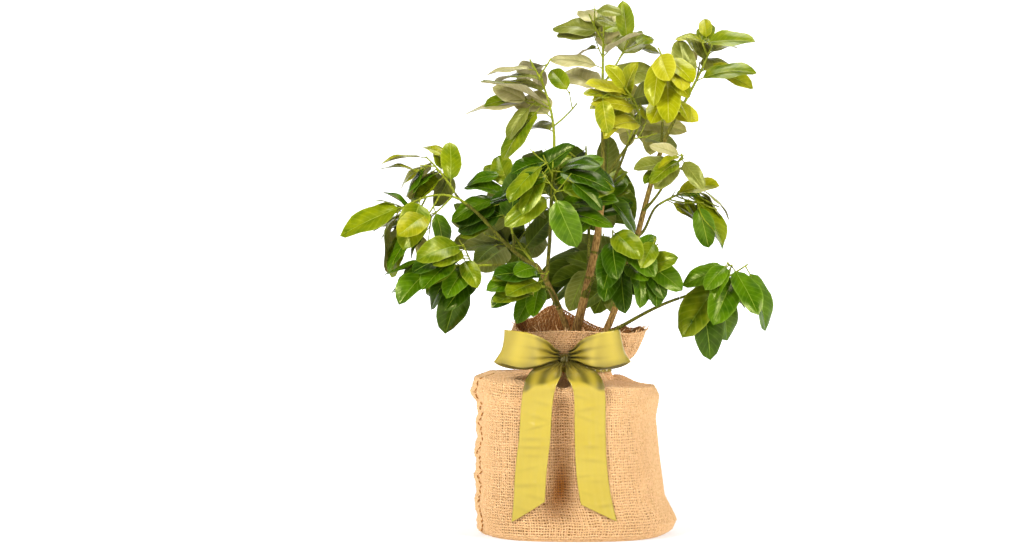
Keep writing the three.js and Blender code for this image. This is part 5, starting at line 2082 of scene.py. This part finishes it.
    def stitches(self) -> Object:
        """Sews a running stitch up the left seam and over the shoulder, a little way in from the edge.

        Returns:
            The piece.
        """
        random = np.random.default_rng(self.seed + 4)
        base = Shape()
        steps = np.linspace(0, 1, self.stitch_points)
        for low in np.arange(5, 171, self.stitch_pitch):
            heights = low + steps * self.stitch_pitch * random.uniform(0.4, 0.75)
            inward = (self.stitch_inset + 0.9 * np.sin(low * 0.13) + random.normal(0, 0.5)
                      + steps * random.normal(0.6, 1.2))
            proud = 1.2 + 0.5 * np.sin(math.pi * steps)
            base.line(list(self.seam_line(heights, inward, proud)), thick=random.uniform(0.55, 0.85))
        return self.thread_tree("seam_stitches", THREAD).grow(base.object("stitch_lines"), "seam_stitches")

    def seam_line(self, heights: np.ndarray, inward: np.ndarray, proud: np.ndarray) -> np.ndarray:
        """Points on the front of the left seam.

        Args:
            heights: The height of each.
            inward: How far in from the seam's edge each is.
            proud: How far it stands off the cloth.

        Returns:
            The points, as rows.
        """
        turns = np.linspace(math.pi, math.pi + 0.9, self.seam_samples)
        line = []
        for height, reach, lift in zip(heights, inward, proud):
            around = self.surface(np.full(self.seam_samples, height), turns)
            turn = np.interp(around[0, 0] + reach, around[:, 0], turns)
            line.append(self.surface(np.array([height]), np.array([turn]), -lift)[0] - vec(0, lift, 0))
        return np.array(line)

    def fray(self) -> Object:
        """Frays the rim and the left seam into loose thread ends.

        Returns:
            The piece.
        """
        random = np.random.default_rng(self.seed + 3)
        base = Shape()
        for _ in range(self.rim_threads):
            angle = random.uniform(0, 2 * math.pi)
            foot = self.surface(np.array([RIM_HEIGHT - 0.5]), np.array([angle]))[0]
            out = unit(vec(math.cos(angle), math.sin(angle), 0.6))
            length = random.uniform(2, 7)
            bend = vec(random.normal(0, 0.4), random.normal(0, 0.4), random.normal(0.1, 0.4))
            base.line([foot, foot + out * length * 0.5, foot + (out + bend) * length * 0.9],
                      thick=[0.42, 0.36, 0.2])
        for _ in range(self.seam_threads):
            height = random.uniform(4, 168)
            foot = self.surface(np.array([height]), np.array([math.pi]))[0]
            length = random.uniform(1.0, 2.8)
            out = unit(vec(-1, random.normal(0, 0.5), random.normal(0, 0.6)))
            tip = foot + unit(out + vec(0, 0, random.normal(0, 0.6))) * length
            base.line([foot, foot + out * length * 0.5, tip], thick=[0.4, 0.34, 0.2])
        return self.thread_tree("loose_threads", BURLAP).grow(base.object("fray_lines"), "loose_threads")

    def dress(self) -> list[Object]:
        """Puts the cloth in the solid sack's place.

        Returns:
            The pieces.
        """
        made = [*(self.yarns(kind) for kind in Yarn), self.backing(), self.stitches(), self.fray()]
        for piece in made:
            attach(piece, "root")
            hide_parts("burlap_sack")
        return made


# The ribbon

@dataclass
class Bow:
    """A satin ribbon: tied round the neck, with a knot, two loops and two long tails.

    `centre` is the knot's middle, and `lift` is how far the tails' middle stands off the cloth.
    """

    sack: Sack
    centre: tuple[float, float, float] = (-11, -50, 198)
    ribbon: float = 38
    thickness: float = 0.45
    columns: int = 27
    lift: float = 3.4
    loop_rows: int = 84
    loop_folds: float = 3.2
    tail_rows: int = 150
    tail_samples: int = 400
    tail_folds: float = 4.3
    tail_gather: float = 11
    tail_trim: float = 19
    band_columns: int = 150
    band_thickness: float = 0.6
    knot_rings: int = 33
    knot_sides: int = 40
    knot_radius: float = 7.0
    knot_reach: float = 6.2

    def across(self) -> np.ndarray:
        """Where the ribbon's columns are, from -1 at one edge to 1 at the other."""
        return np.linspace(-1, 1, self.columns)

    def both_faces(self, painted_shade: np.ndarray) -> list[float]:
        """A grid's painted shade for the points of both faces of its shell."""
        return list(np.tile(np.clip(painted_shade, 0, 1).ravel(), 2))

    def pleated(self, middle: np.ndarray, across: np.ndarray, width: np.ndarray, crown: float,
                folds: float, phase: float) -> np.ndarray:
        """A strip round a centre line. Where it is drawn narrower than the ribbon, it stands in folds.

        Args:
            middle: The centre line.
            across: The direction across the strip at each point of it.
            width: How wide the strip shows at each point.
            crown: How far the strip's middle stands proud of its edges.
            folds: How many folds it gathers into.
            phase: Shifts the folds.

        Returns:
            The strip's points, in rows.
        """
        along = np.gradient(middle, axis=0)
        along /= np.linalg.norm(along, axis=1, keepdims=True)
        across = across - along * (across * along).sum(axis=1, keepdims=True)
        across /= np.linalg.norm(across, axis=1, keepdims=True)
        out = np.cross(along, across)
        t = self.across()
        spare = np.clip(1 - width / self.ribbon, 0, 1)
        depth = np.minimum(3.2 * spare ** 1.3, 0.42 * width / folds + 0.3)
        wave = np.cos(math.pi * folds * t + phase)
        rise = depth[:, None] * wave + crown * (1 - t ** 2)
        return (middle[:, None] + across[:, None] * (t[None, :, None] * width[:, None, None] / 2)
                + out[:, None] * rise[:, :, None])

    def loop(self, side: int, reach: float) -> np.ndarray:
        """One loop, out from the knot in front and back to it behind.

        Args:
            side: -1 for the left loop and 1 for the right one.
            reach: How far it goes out from the knot's middle.

        Returns:
            The loop's points, in rows.
        """
        route = np.array([  # share of the reach, place in depth, rise over the knot, width
            (0.02, -57, 5, 9), (0.12, -64, 6, 15), (0.24, -74, 8, 27), (0.42, -83, 10, 35),
            (0.65, -87, 12, 40), (0.87, -86, 14.5, 39), (0.98, -81, 15.5, 37), (0.99, -75, 14.5, 36),
            (0.9, -70, 10, 36), (0.7, -67, 7, 33), (0.4, -64, 4, 24), (0.15, -58, 2, 12),
            (0, -52, 0, 9)], float)
        x, _, z = self.centre
        count = self.loop_rows
        places = [vec(x + side * lerp(4, reach, share), y, z + rise) for share, y, rise, _ in route]
        middle = spline(places, count)
        way = np.linspace(0, 1, count)
        width = np.interp(way, np.linspace(0, 1, len(route)), route[:, 3])
        out = np.clip(np.abs(middle[:, 0] - x) / reach, 0, 1)
        across = np.stack([-side * 0.25 * out, np.full(count, -0.16), np.ones(count)], axis=1)
        grid = self.pleated(middle, across, width, 0.8, self.loop_folds, 0.6 + side)
        t, way = self.across()[None, :], way[:, None]
        grid[:, :, 1] += np.sin(math.pi * way) * (1.5 * np.sin(way * 9 + side) * t
                                                  + 1.7 * np.sin(way * 22 + side + 0.6 * t))
        return grid if side < 0 else grid[:, ::-1]

    def painted_shade_of_loop(self, grid: np.ndarray) -> list[float]:
        """How much shade is painted on each point of a loop: at the knot, behind the front ply, under its
        lower edge and along its folds, less in two bands of painted highlight.

        Args:
            grid: The loop's points.

        Returns:
            A number from 0 to 1 for each point of the loop's shell.
        """
        count = len(grid)
        way = np.linspace(0, 1, count)
        near = np.abs(grid[:, self.columns // 2, 0] - self.centre[0])[:, None]
        t = self.across() * (-1 if grid[count // 2, 0, 0] > self.centre[0] else 1)
        # Painted shade at the knot, reaching further along the hollows of the folds
        crease = (0.5 - 0.5 * np.cos(math.pi * self.loop_folds * t + 1.2))[None, :] ** 2
        knot = 0.95 * np.exp(-(near / (12 + 16 * crease)) ** 2)
        # Painted shade on the back ply, behind the front one
        behind = 0.75 * smoothstep(way, 0.53, 0.62)
        aside = np.abs(grid[:, :, 0] - self.centre[0])
        height = grid[:, :, 2] - grid[:, :, 2].mean(axis=1, keepdims=True)
        # Painted highlights in two slanting bands
        sheen = np.exp(-((aside + 0.25 * height - 50) / 6) ** 2)
        sheen = sheen + 0.7 * np.exp(-((aside - 0.2 * height - 31) / 4) ** 2)
        # Painted shade under the loop's lower edge
        under = smoothstep(-height, 10, 19)
        tone = np.clip(0.26 + 0.04 * np.sin(aside * 0.42 + height * 0.12) - 0.26 * sheen + 0.3 * under, 0, 1)
        return self.both_faces(np.maximum(knot, behind[:, None]) + tone * (behind < 0.1)[:, None])

    def front(self, x: np.ndarray, z: np.ndarray) -> np.ndarray:
        """Where the front of the cloth stands, without its gathers.

        Args:
            x: How far to the right each place is.
            z: Its height.

        Returns:
            How far towards the back each place is.
        """
        left, right, depth = (np.interp(z, OUTLINES[:, 0], row) for row in OUTLINES.T[1:4])
        aside = np.clip(np.abs((x - (left + right) / 2) / ((right - left) / 2)), 0, 0.98)
        return -depth * (1 - aside ** self.sack.squareness) ** (1 / self.sack.squareness)

    def tail(self, over: list[tuple], places: list[tuple], slant: float, phase: float) -> np.ndarray:
        """One tail, over the shoulder and down the front to its slanted end.

        Args:
            over: Points from the knot to the shoulder's edge.
            places: Where it hangs on the cloth, as x and height.
            slant: How fast the cut end rises across the ribbon.
            phase: Shifts the tail's folds and waves.

        Returns:
            The tail's points, in rows.
        """
        hung = [vec(x, float(self.front(np.array(x), np.array(z))) - self.lift, z) for x, z in places]
        full = spline([*(vec(*point) for point in over), *hung], self.tail_samples)
        reach = distances(full)
        share = np.linspace(0, 1, self.tail_rows)
        width = self.tail_gather + (self.ribbon - 4 - self.tail_gather) * smoothstep(share, 0, 0.17)
        t, last = self.across(), reach[-1] - self.tail_trim
        end = last + slant * t * width[-1] / 2
        blend = smoothstep(share, 0.3, 1)[:, None]
        distance = share[:, None] * (blend * end[None, :] + (1 - blend) * last)
        middle = np.stack([np.interp(distance, reach, full[:, k]) for k in range(3)], axis=2)
        spine = middle[:, self.columns // 2]
        across = np.tile(vec(1, 0, 0), (self.tail_rows, 1))
        grid = self.pleated(spine, across, width, 0.3, self.tail_folds, phase) - spine[:, None] + middle
        height = grid[:, :, 2]
        on_cloth = smoothstep(-height, -158, -140)
        wave = 0.7 * np.sin(height * 0.09 + phase + t[None, :] * 0.9) - 0.7 * self.creases(height, phase)
        lying = self.front(grid[:, :, 0], height) - self.lift + wave
        folds = grid[:, :, 1] - middle[:, :, 1]
        grid[:, :, 1] = grid[:, :, 1] * (1 - on_cloth) + (lying + folds) * on_cloth
        return grid[:, ::-1]

    def creases(self, height: np.ndarray, phase: float) -> np.ndarray:
        """Sharp slanting creases across a tail, each over a part of its width.

        Args:
            height: The height of each point of the tail.
            phase: The tail's own phase, which seeds the creases.

        Returns:
            A number from 0 to 1 for each point.
        """
        t = self.across()[None, :]
        relief = np.zeros_like(height)
        random = np.random.default_rng(round(phase * 10))
        for low in np.arange(40, 170, 13):
            slope, middle, span = random.uniform(-7, 7), random.uniform(-0.8, 0.8), random.uniform(0.4, 0.9)
            line = (height - low - random.uniform(-5, 5) - slope * t) / random.uniform(1.4, 2.6)
            relief += random.uniform(0.4, 1) * np.exp(-line ** 2 - ((t - middle) / span) ** 2)
        return np.clip(relief, 0, 1)

    def painted_shade_of_tail(self, grid: np.ndarray) -> list[float]:
        """How much shade is painted on each point of a tail: by the knot, the loops' shadow in streaks below
        it, and shade beside a painted highlight along each crease.

        Args:
            grid: The tail's points.

        Returns:
            A number from 0 to 1 for each point of the tail's shell.
        """
        left = grid[-1, 0, 0] < 0
        phase = 0.4 if left else 2.2
        x, height = grid[:, :, 0], grid[:, :, 2]
        middle, half = x.mean(axis=1, keepdims=True), np.abs(x[:, :1] - x[:, -1:]) / 2
        outer = (x - middle) / half * (-1 if left else 1)
        # Painted shade by the knot
        knot = 0.95 * smoothstep(height, 178, 196)
        # Painted shadow of the loops, in streaks down to a wavy edge
        loop_shadow = 0.6 + 0.26 * np.cos(math.pi * 2.2 * (outer - 0.8) - 0.08 * (height - 170))
        edge = 171.5 - 7 * outer + 1.2 * np.sin(5 * outer + phase)
        # Painted shade and painted highlight along the creases
        crease = 0.05 - 0.05 * self.creases(height - 1, phase) + 0.19 * self.creases(height + 2.5, phase)
        painted_shade = np.maximum(knot, loop_shadow * smoothstep(height - edge, -2.5, 3))
        return self.both_faces(np.maximum(painted_shade, crease))

    def band(self) -> Shape:
        """The turn of ribbon round the neck, creased along its length.

        Returns:
            The shape.
        """
        shape, rings = Shape(), []
        heights = np.array([183.5, 184.2, 185.3, 186.8, 188.2, 189.6, 190.8, 191.5])
        for angle in np.linspace(0, 2 * math.pi, self.band_columns, endpoint=False):
            creases = 0.5 * np.sin(heights * 1.4 + 3 * math.sin(angle * 2))
            at = np.full(len(heights), angle)
            outer = self.sack.surface(heights, at, -2.5 - self.band_thickness - creases)
            inner = self.sack.surface(heights, at, -2.5 - creases)
            rings.append([*outer, *reversed(inner)])
        shape.rings(rings, hoop=True)
        return shape

    def knot(self) -> Shape:
        """The knot: a turn of ribbon drawn tight, with creases round it.

        Returns:
            The shape.
        """
        shape, rings = Shape(), []
        x, y, z = self.centre
        for s in np.linspace(-1, 1, self.knot_rings):
            bulge = max(0.12, (1 - abs(s) ** 2.6) ** 0.5)
            crease = 1 + 0.07 * math.cos(9.5 * s + 0.5)
            ring = []
            for turn in np.linspace(0, 2 * math.pi, self.knot_sides, endpoint=False):
                lean = self.knot_reach * (s + 0.1 * math.sin(turn))
                radius = self.knot_radius * bulge * crease * (1 + 0.03 * math.sin(3 * turn + 4 * s))
                ring.append(vec(x + lean, y + radius * math.cos(turn), z + radius * math.sin(turn)))
            rings.append(ring)
        shape.rings(rings)
        return shape

    def dress(self) -> list[Object]:
        """Puts the satin pieces in the solid ribbon's place.

        Returns:
            The pieces.
        """
        left = self.tail([(-15, -57, 194), (-24, -69, 190), (-33, -85, 182), (-38.5, -93.5, 171)],
                         [(-41, 157), (-42.3, 145), (-44.3, 112), (-47, 90), (-49, 68), (-50, 47), (-53, 14)],
                         -0.8, 0.4)
        right = self.tail([(-6, -57, 195), (0, -69, 190), (8, -85, 182), (14, -93.5, 171)],
                          [(16, 157), (16.2, 145), (16.4, 112), (17.2, 90), (19.2, 68), (22.5, 47), (30, 14)],
                          0.8, 2.2)
        loops = {"satin_loop_left": ("bow_loop_left", self.loop(-1, 69.5)),
                 "satin_loop_right": ("bow_loop_right", self.loop(1, 63.5))}
        tails = {"satin_tail_left": ("bow_tail_left", left), "satin_tail_right": ("bow_tail_right", right)}
        made = []
        for name, (node, grid) in (loops | tails).items():
            shape = Shape()
            shape.sheet(grid, self.thickness)
            # Each point keeps how much shade is painted on it
            shape.marks["painted_shade"] = self.painted_shade_of_loop(grid) if name in loops else self.painted_shade_of_tail(grid)
            made.append((shape.object(name, RIBBON), node))
        # The band and the knot get an even painted shade, deep on the knot
        for name, node, shape, painted_shade in (("satin_band", "ribbon_band", self.band(), 0.5),
                                        ("satin_knot", "ribbon_knot", self.knot(), 0.92)):
            shape.marks["painted_shade"] = [painted_shade] * len(shape.points)
            made.append((shape.object(name, RIBBON), node))
        for piece, node in made:
            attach(piece, "root")
            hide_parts(node)
        return [piece for piece, _ in made]


# Pot and soil

@dataclass
class Pot:
    """The nursery pot, which keeps its solid shape, and the crumbly potting mix in it.

    `mound` is how far the mix falls away from the trunk to the wall, and `brim` is where it meets the wall.
    """

    soil_top: float = 147.5
    brim: float = 143.5
    radius: float = 75.5
    foot_radius: float = 59.5
    foot: float = 4.6
    mound: float = 3.0
    lumps: float = 1.6
    around: int = 96
    rings: int = 34
    chips: int = 420
    chip: float = 2.4
    perlite: float = 1.4
    seed: int = 12

    def height(self, x: float, y: float) -> float:
        """The mix's height at a place: a low mound with lumps.

        Args:
            x: How far to the right the place is.
            y: How far to the back.

        Returns:
            The height.
        """
        reach = min(1, math.hypot(x, y) / self.radius)
        lump = noise.noise(Vector((x * 0.12, y * 0.12, 3.1)))
        lump += 0.5 * noise.noise(Vector((x * 0.4, y * 0.4, 7.3)))
        return self.soil_top - self.mound * reach ** 2 + self.lumps * lump * (1 - reach ** 6)

    def soil(self) -> Object:
        """Makes the potting mix, closed down to the pot's floor.

        Returns:
            The piece.
        """
        def ring(radius: float, height: float | None = None) -> list[np.ndarray]:
            """One ring of the mix, level at a height or lying on top of the mound."""
            spots = [(radius * math.cos(a), radius * math.sin(a)) for a in circle(self.around)]
            return [vec(x, y, self.height(x, y) if height is None else height) for x, y in spots]

        shape = Shape()
        rings = [ring(0.5, self.foot), ring(self.foot_radius, self.foot), ring(self.radius, self.brim)]
        rings += [ring(radius) for radius in np.linspace(self.radius - 0.3, 0.6, self.rings)]
        shape.rings(rings)
        return shape.object("soil", SOIL)

    def chip_tree(self, name: str, size: float, finish: Finish) -> GeometryTree:
        """The tree that strews chips of one kind over the soil's points.

        Args:
            name: The tree's name.
            size: A chip's usual radius, in millimetres.
            finish: Its material.

        Returns:
            The tree.
        """
        tree = GeometryTree(name, {
            "Size": size * MM, "Seed": self.seed + len(name), "Chip": finish.material()})
        chip = tree.add("GeometryNodeMeshIcoSphere", {"Radius": tree.size("Size"), "Subdivisions": 1})
        sizes = tree.add("FunctionNodeRandomValue", {
            0: (0.5, 0.4, 0.25), 1: (1.7, 1.0, 0.6), "Seed": tree.size("Seed")}, data_type="FLOAT_VECTOR")
        turns = tree.add("FunctionNodeRandomValue", {
            0: (-0.5, -0.5, 0.0), 1: (0.5, 0.5, 6.28), "Seed": tree.size("Seed")}, data_type="FLOAT_VECTOR")
        spread = tree.add("GeometryNodeInstanceOnPoints", {
            "Points": tree.start.outputs[0], "Instance": chip.outputs[0], "Rotation": turns.outputs[0],
            "Scale": sizes.outputs[0]})
        tree.finish(spread.outputs[0], "Chip")
        return tree

    def strewn(self, name: str, count: int, size: float, finish: Finish, seed: int) -> Object:
        """Strews chips of one kind over the mix.

        Args:
            name: The piece's name.
            count: How many chips.
            size: A chip's usual radius, in millimetres.
            finish: Its material.
            seed: Seeds their places.

        Returns:
            The piece.
        """
        random, base = seeded(seed), Shape()
        for _ in range(count):
            turn, reach = 2 * math.pi * random(), (self.radius - 3) * random() ** 0.5
            x, y = reach * math.cos(turn), reach * math.sin(turn)
            base.points.append(vec(x, y, self.height(x, y) + size * 0.15))
        return self.chip_tree(name, size, finish).grow(base.object(f"{name}_points"), name)

    def dress(self) -> list[Object]:
        """Gives the pot its plastic, and puts the crumbly mix in the solid soil's place.

        Returns:
            The pieces.
        """
        pot = frame["nodes"]["nursery_pot"]
        pot.data.materials.clear()
        pot.data.materials.append(PLASTIC.material())
        made = [self.soil(), self.strewn("bark_chips", self.chips, self.chip, SOIL_CHIP, self.seed),
                self.strewn("perlite", self.chips // 4, self.perlite, PERLITE, self.seed + 1)]
        for piece in made:
            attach(piece, "root")
            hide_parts("potting_soil")
        return made


# The studio

@dataclass(frozen=True)
class Lamp:
    """A soft square light that faces a point of the tree. Its place and size are in metres."""

    name: str
    place: tuple[float, float, float]
    size: float
    power: float
    aim: tuple[float, float, float] = (0.0, 0.0, 0.3)

    def hang(self) -> None:
        """Puts the light in the scene."""
        light = bpy.data.lights.new(self.name, "AREA")
        light.shape, light.size, light.energy = "SQUARE", self.size, self.power
        lamp = put(self.name, light)
        lamp.location = self.place
        lamp.rotation_euler = (Vector(self.aim) - Vector(self.place)).to_track_quat("-Z", "Y").to_euler()


@dataclass
class Studio:
    """A white floor and backdrop, pale walls, soft lights, and a camera at the photograph's place.

    Its places and sizes are in metres. The floor's glow rises to the backdrop's between the two distances of
    `fade`.
    """

    camera_place: tuple[float, float, float] = (-0.0689, -2.6, 0.293)
    lens: float = 80.9
    sensor: float = 36
    surround: float = 0.05
    white_shade: float = 0.6
    floor_glow: float = 0.52
    backdrop_glow: float = 1.05
    wall_glow: float = 0.25
    fade: tuple[float, float] = (0.7, 2.0)
    room: float = 6.0
    wall_height: float = 3.6
    lamps: tuple[Lamp, ...] = (
        Lamp("key_light", (-1.3, -1.7, 1.6), 0.6, 47),
        Lamp("second_light", (1.5, -1.6, 1.3), 0.7, 34),
        Lamp("top_light", (0.1, 0.3, 2.1), 1.0, 20),
    )

    def white(self, name: str, glow: float, far_glow: float) -> Material:
        """A white surface that glows a little, so that it stays white away from the lights.

        Args:
            name: The material's name.
            glow: How much it glows near the tree.
            far_glow: How much it glows beyond the fade.

        Returns:
            The material.
        """
        material = bpy.data.materials.new(name)
        material.use_nodes = True
        wiring = Wiring(material.node_tree)
        place = wiring.term(wiring.add("ShaderNodeTexCoord"), "Object")
        reach = wiring.add("ShaderNodeVectorMath", {0: place}, operation="LENGTH").outputs["Value"]
        fade = wiring.add("ShaderNodeMapRange", {
            "Value": reach, "From Min": self.fade[0], "From Max": self.fade[1], "To Min": glow,
            "To Max": far_glow})
        wiring.set_shader({
            "Base Color": (*[self.white_shade] * 3, 1), "Roughness": 0.9, "Specular IOR Level": 0.0,
            "Emission Color": (1, 1, 1, 1), "Emission Strength": fade.outputs[0]})
        return material

    def panel(self, name: str, corners: Sequence[tuple[float, float, float]], material: Material) -> None:
        """Puts up one flat panel of the room.

        Args:
            name: Its name.
            corners: Its four corners.
            material: Its material.
        """
        mesh = bpy.data.meshes.new(name)
        mesh.from_pydata(corners, [], [(0, 1, 2, 3)])
        mesh.materials.append(material)
        panel = put(name, mesh)

    def build(self) -> None:
        """Sets up the floor, backdrop, walls, lights and camera."""
        scene = bpy.context.scene
        far, top = self.room, self.wall_height
        spots = [(-far, -far), (far, -far), (far, far), (-far, far)]
        self.panel("studio_floor", [(x, y, 0) for x, y in spots],
                   self.white("studio_floor", self.floor_glow, self.backdrop_glow))
        wall = self.white("studio_wall", self.wall_glow, self.wall_glow)
        backdrop = self.white("studio_backdrop", self.backdrop_glow, self.backdrop_glow)
        for name, (a, b), (c, d), material in (
                ("studio_front", spots[0], spots[1], wall), ("studio_right", spots[1], spots[2], wall),
                ("studio_backdrop", spots[2], spots[3], backdrop), ("studio_left", spots[3], spots[0], wall)):
            self.panel(name, [(c, d, 0), (a, b, 0), (a, b, top), (c, d, top)], material)
        world = bpy.data.worlds.new("white_surround")
        scene.world = world
        world.use_nodes = True
        world.node_tree.nodes["Background"].inputs["Color"].default_value = (1, 1, 1, 1)
        world.node_tree.nodes["Background"].inputs["Strength"].default_value = self.surround
        for lamp in self.lamps:
            lamp.hang()
        lens = bpy.data.cameras.new("photo_camera")
        lens.lens, lens.sensor_width = self.lens, self.sensor
        camera = put("photo_camera", lens)
        camera.location = self.camera_place
        camera.rotation_euler = (math.pi / 2, 0, 0)
        scene.camera = camera
        scene.view_settings.view_transform = "Standard"


def main() -> None:
    """Builds and dresses every part and sets up the studio."""
    logging.basicConfig(level=logging.INFO, format="%(message)s", force=True)
    wood = Wood()
    sack = Sack()
    for part in (wood, Crown(wood), sack, Bow(sack), Pot()):
        for piece in part.dress():
            LOG.info("%s: %s, %d faces", type(part).__name__, piece.name, len(piece.data.polygons))
    Studio().build()


if __name__ == "__main__":
    main()
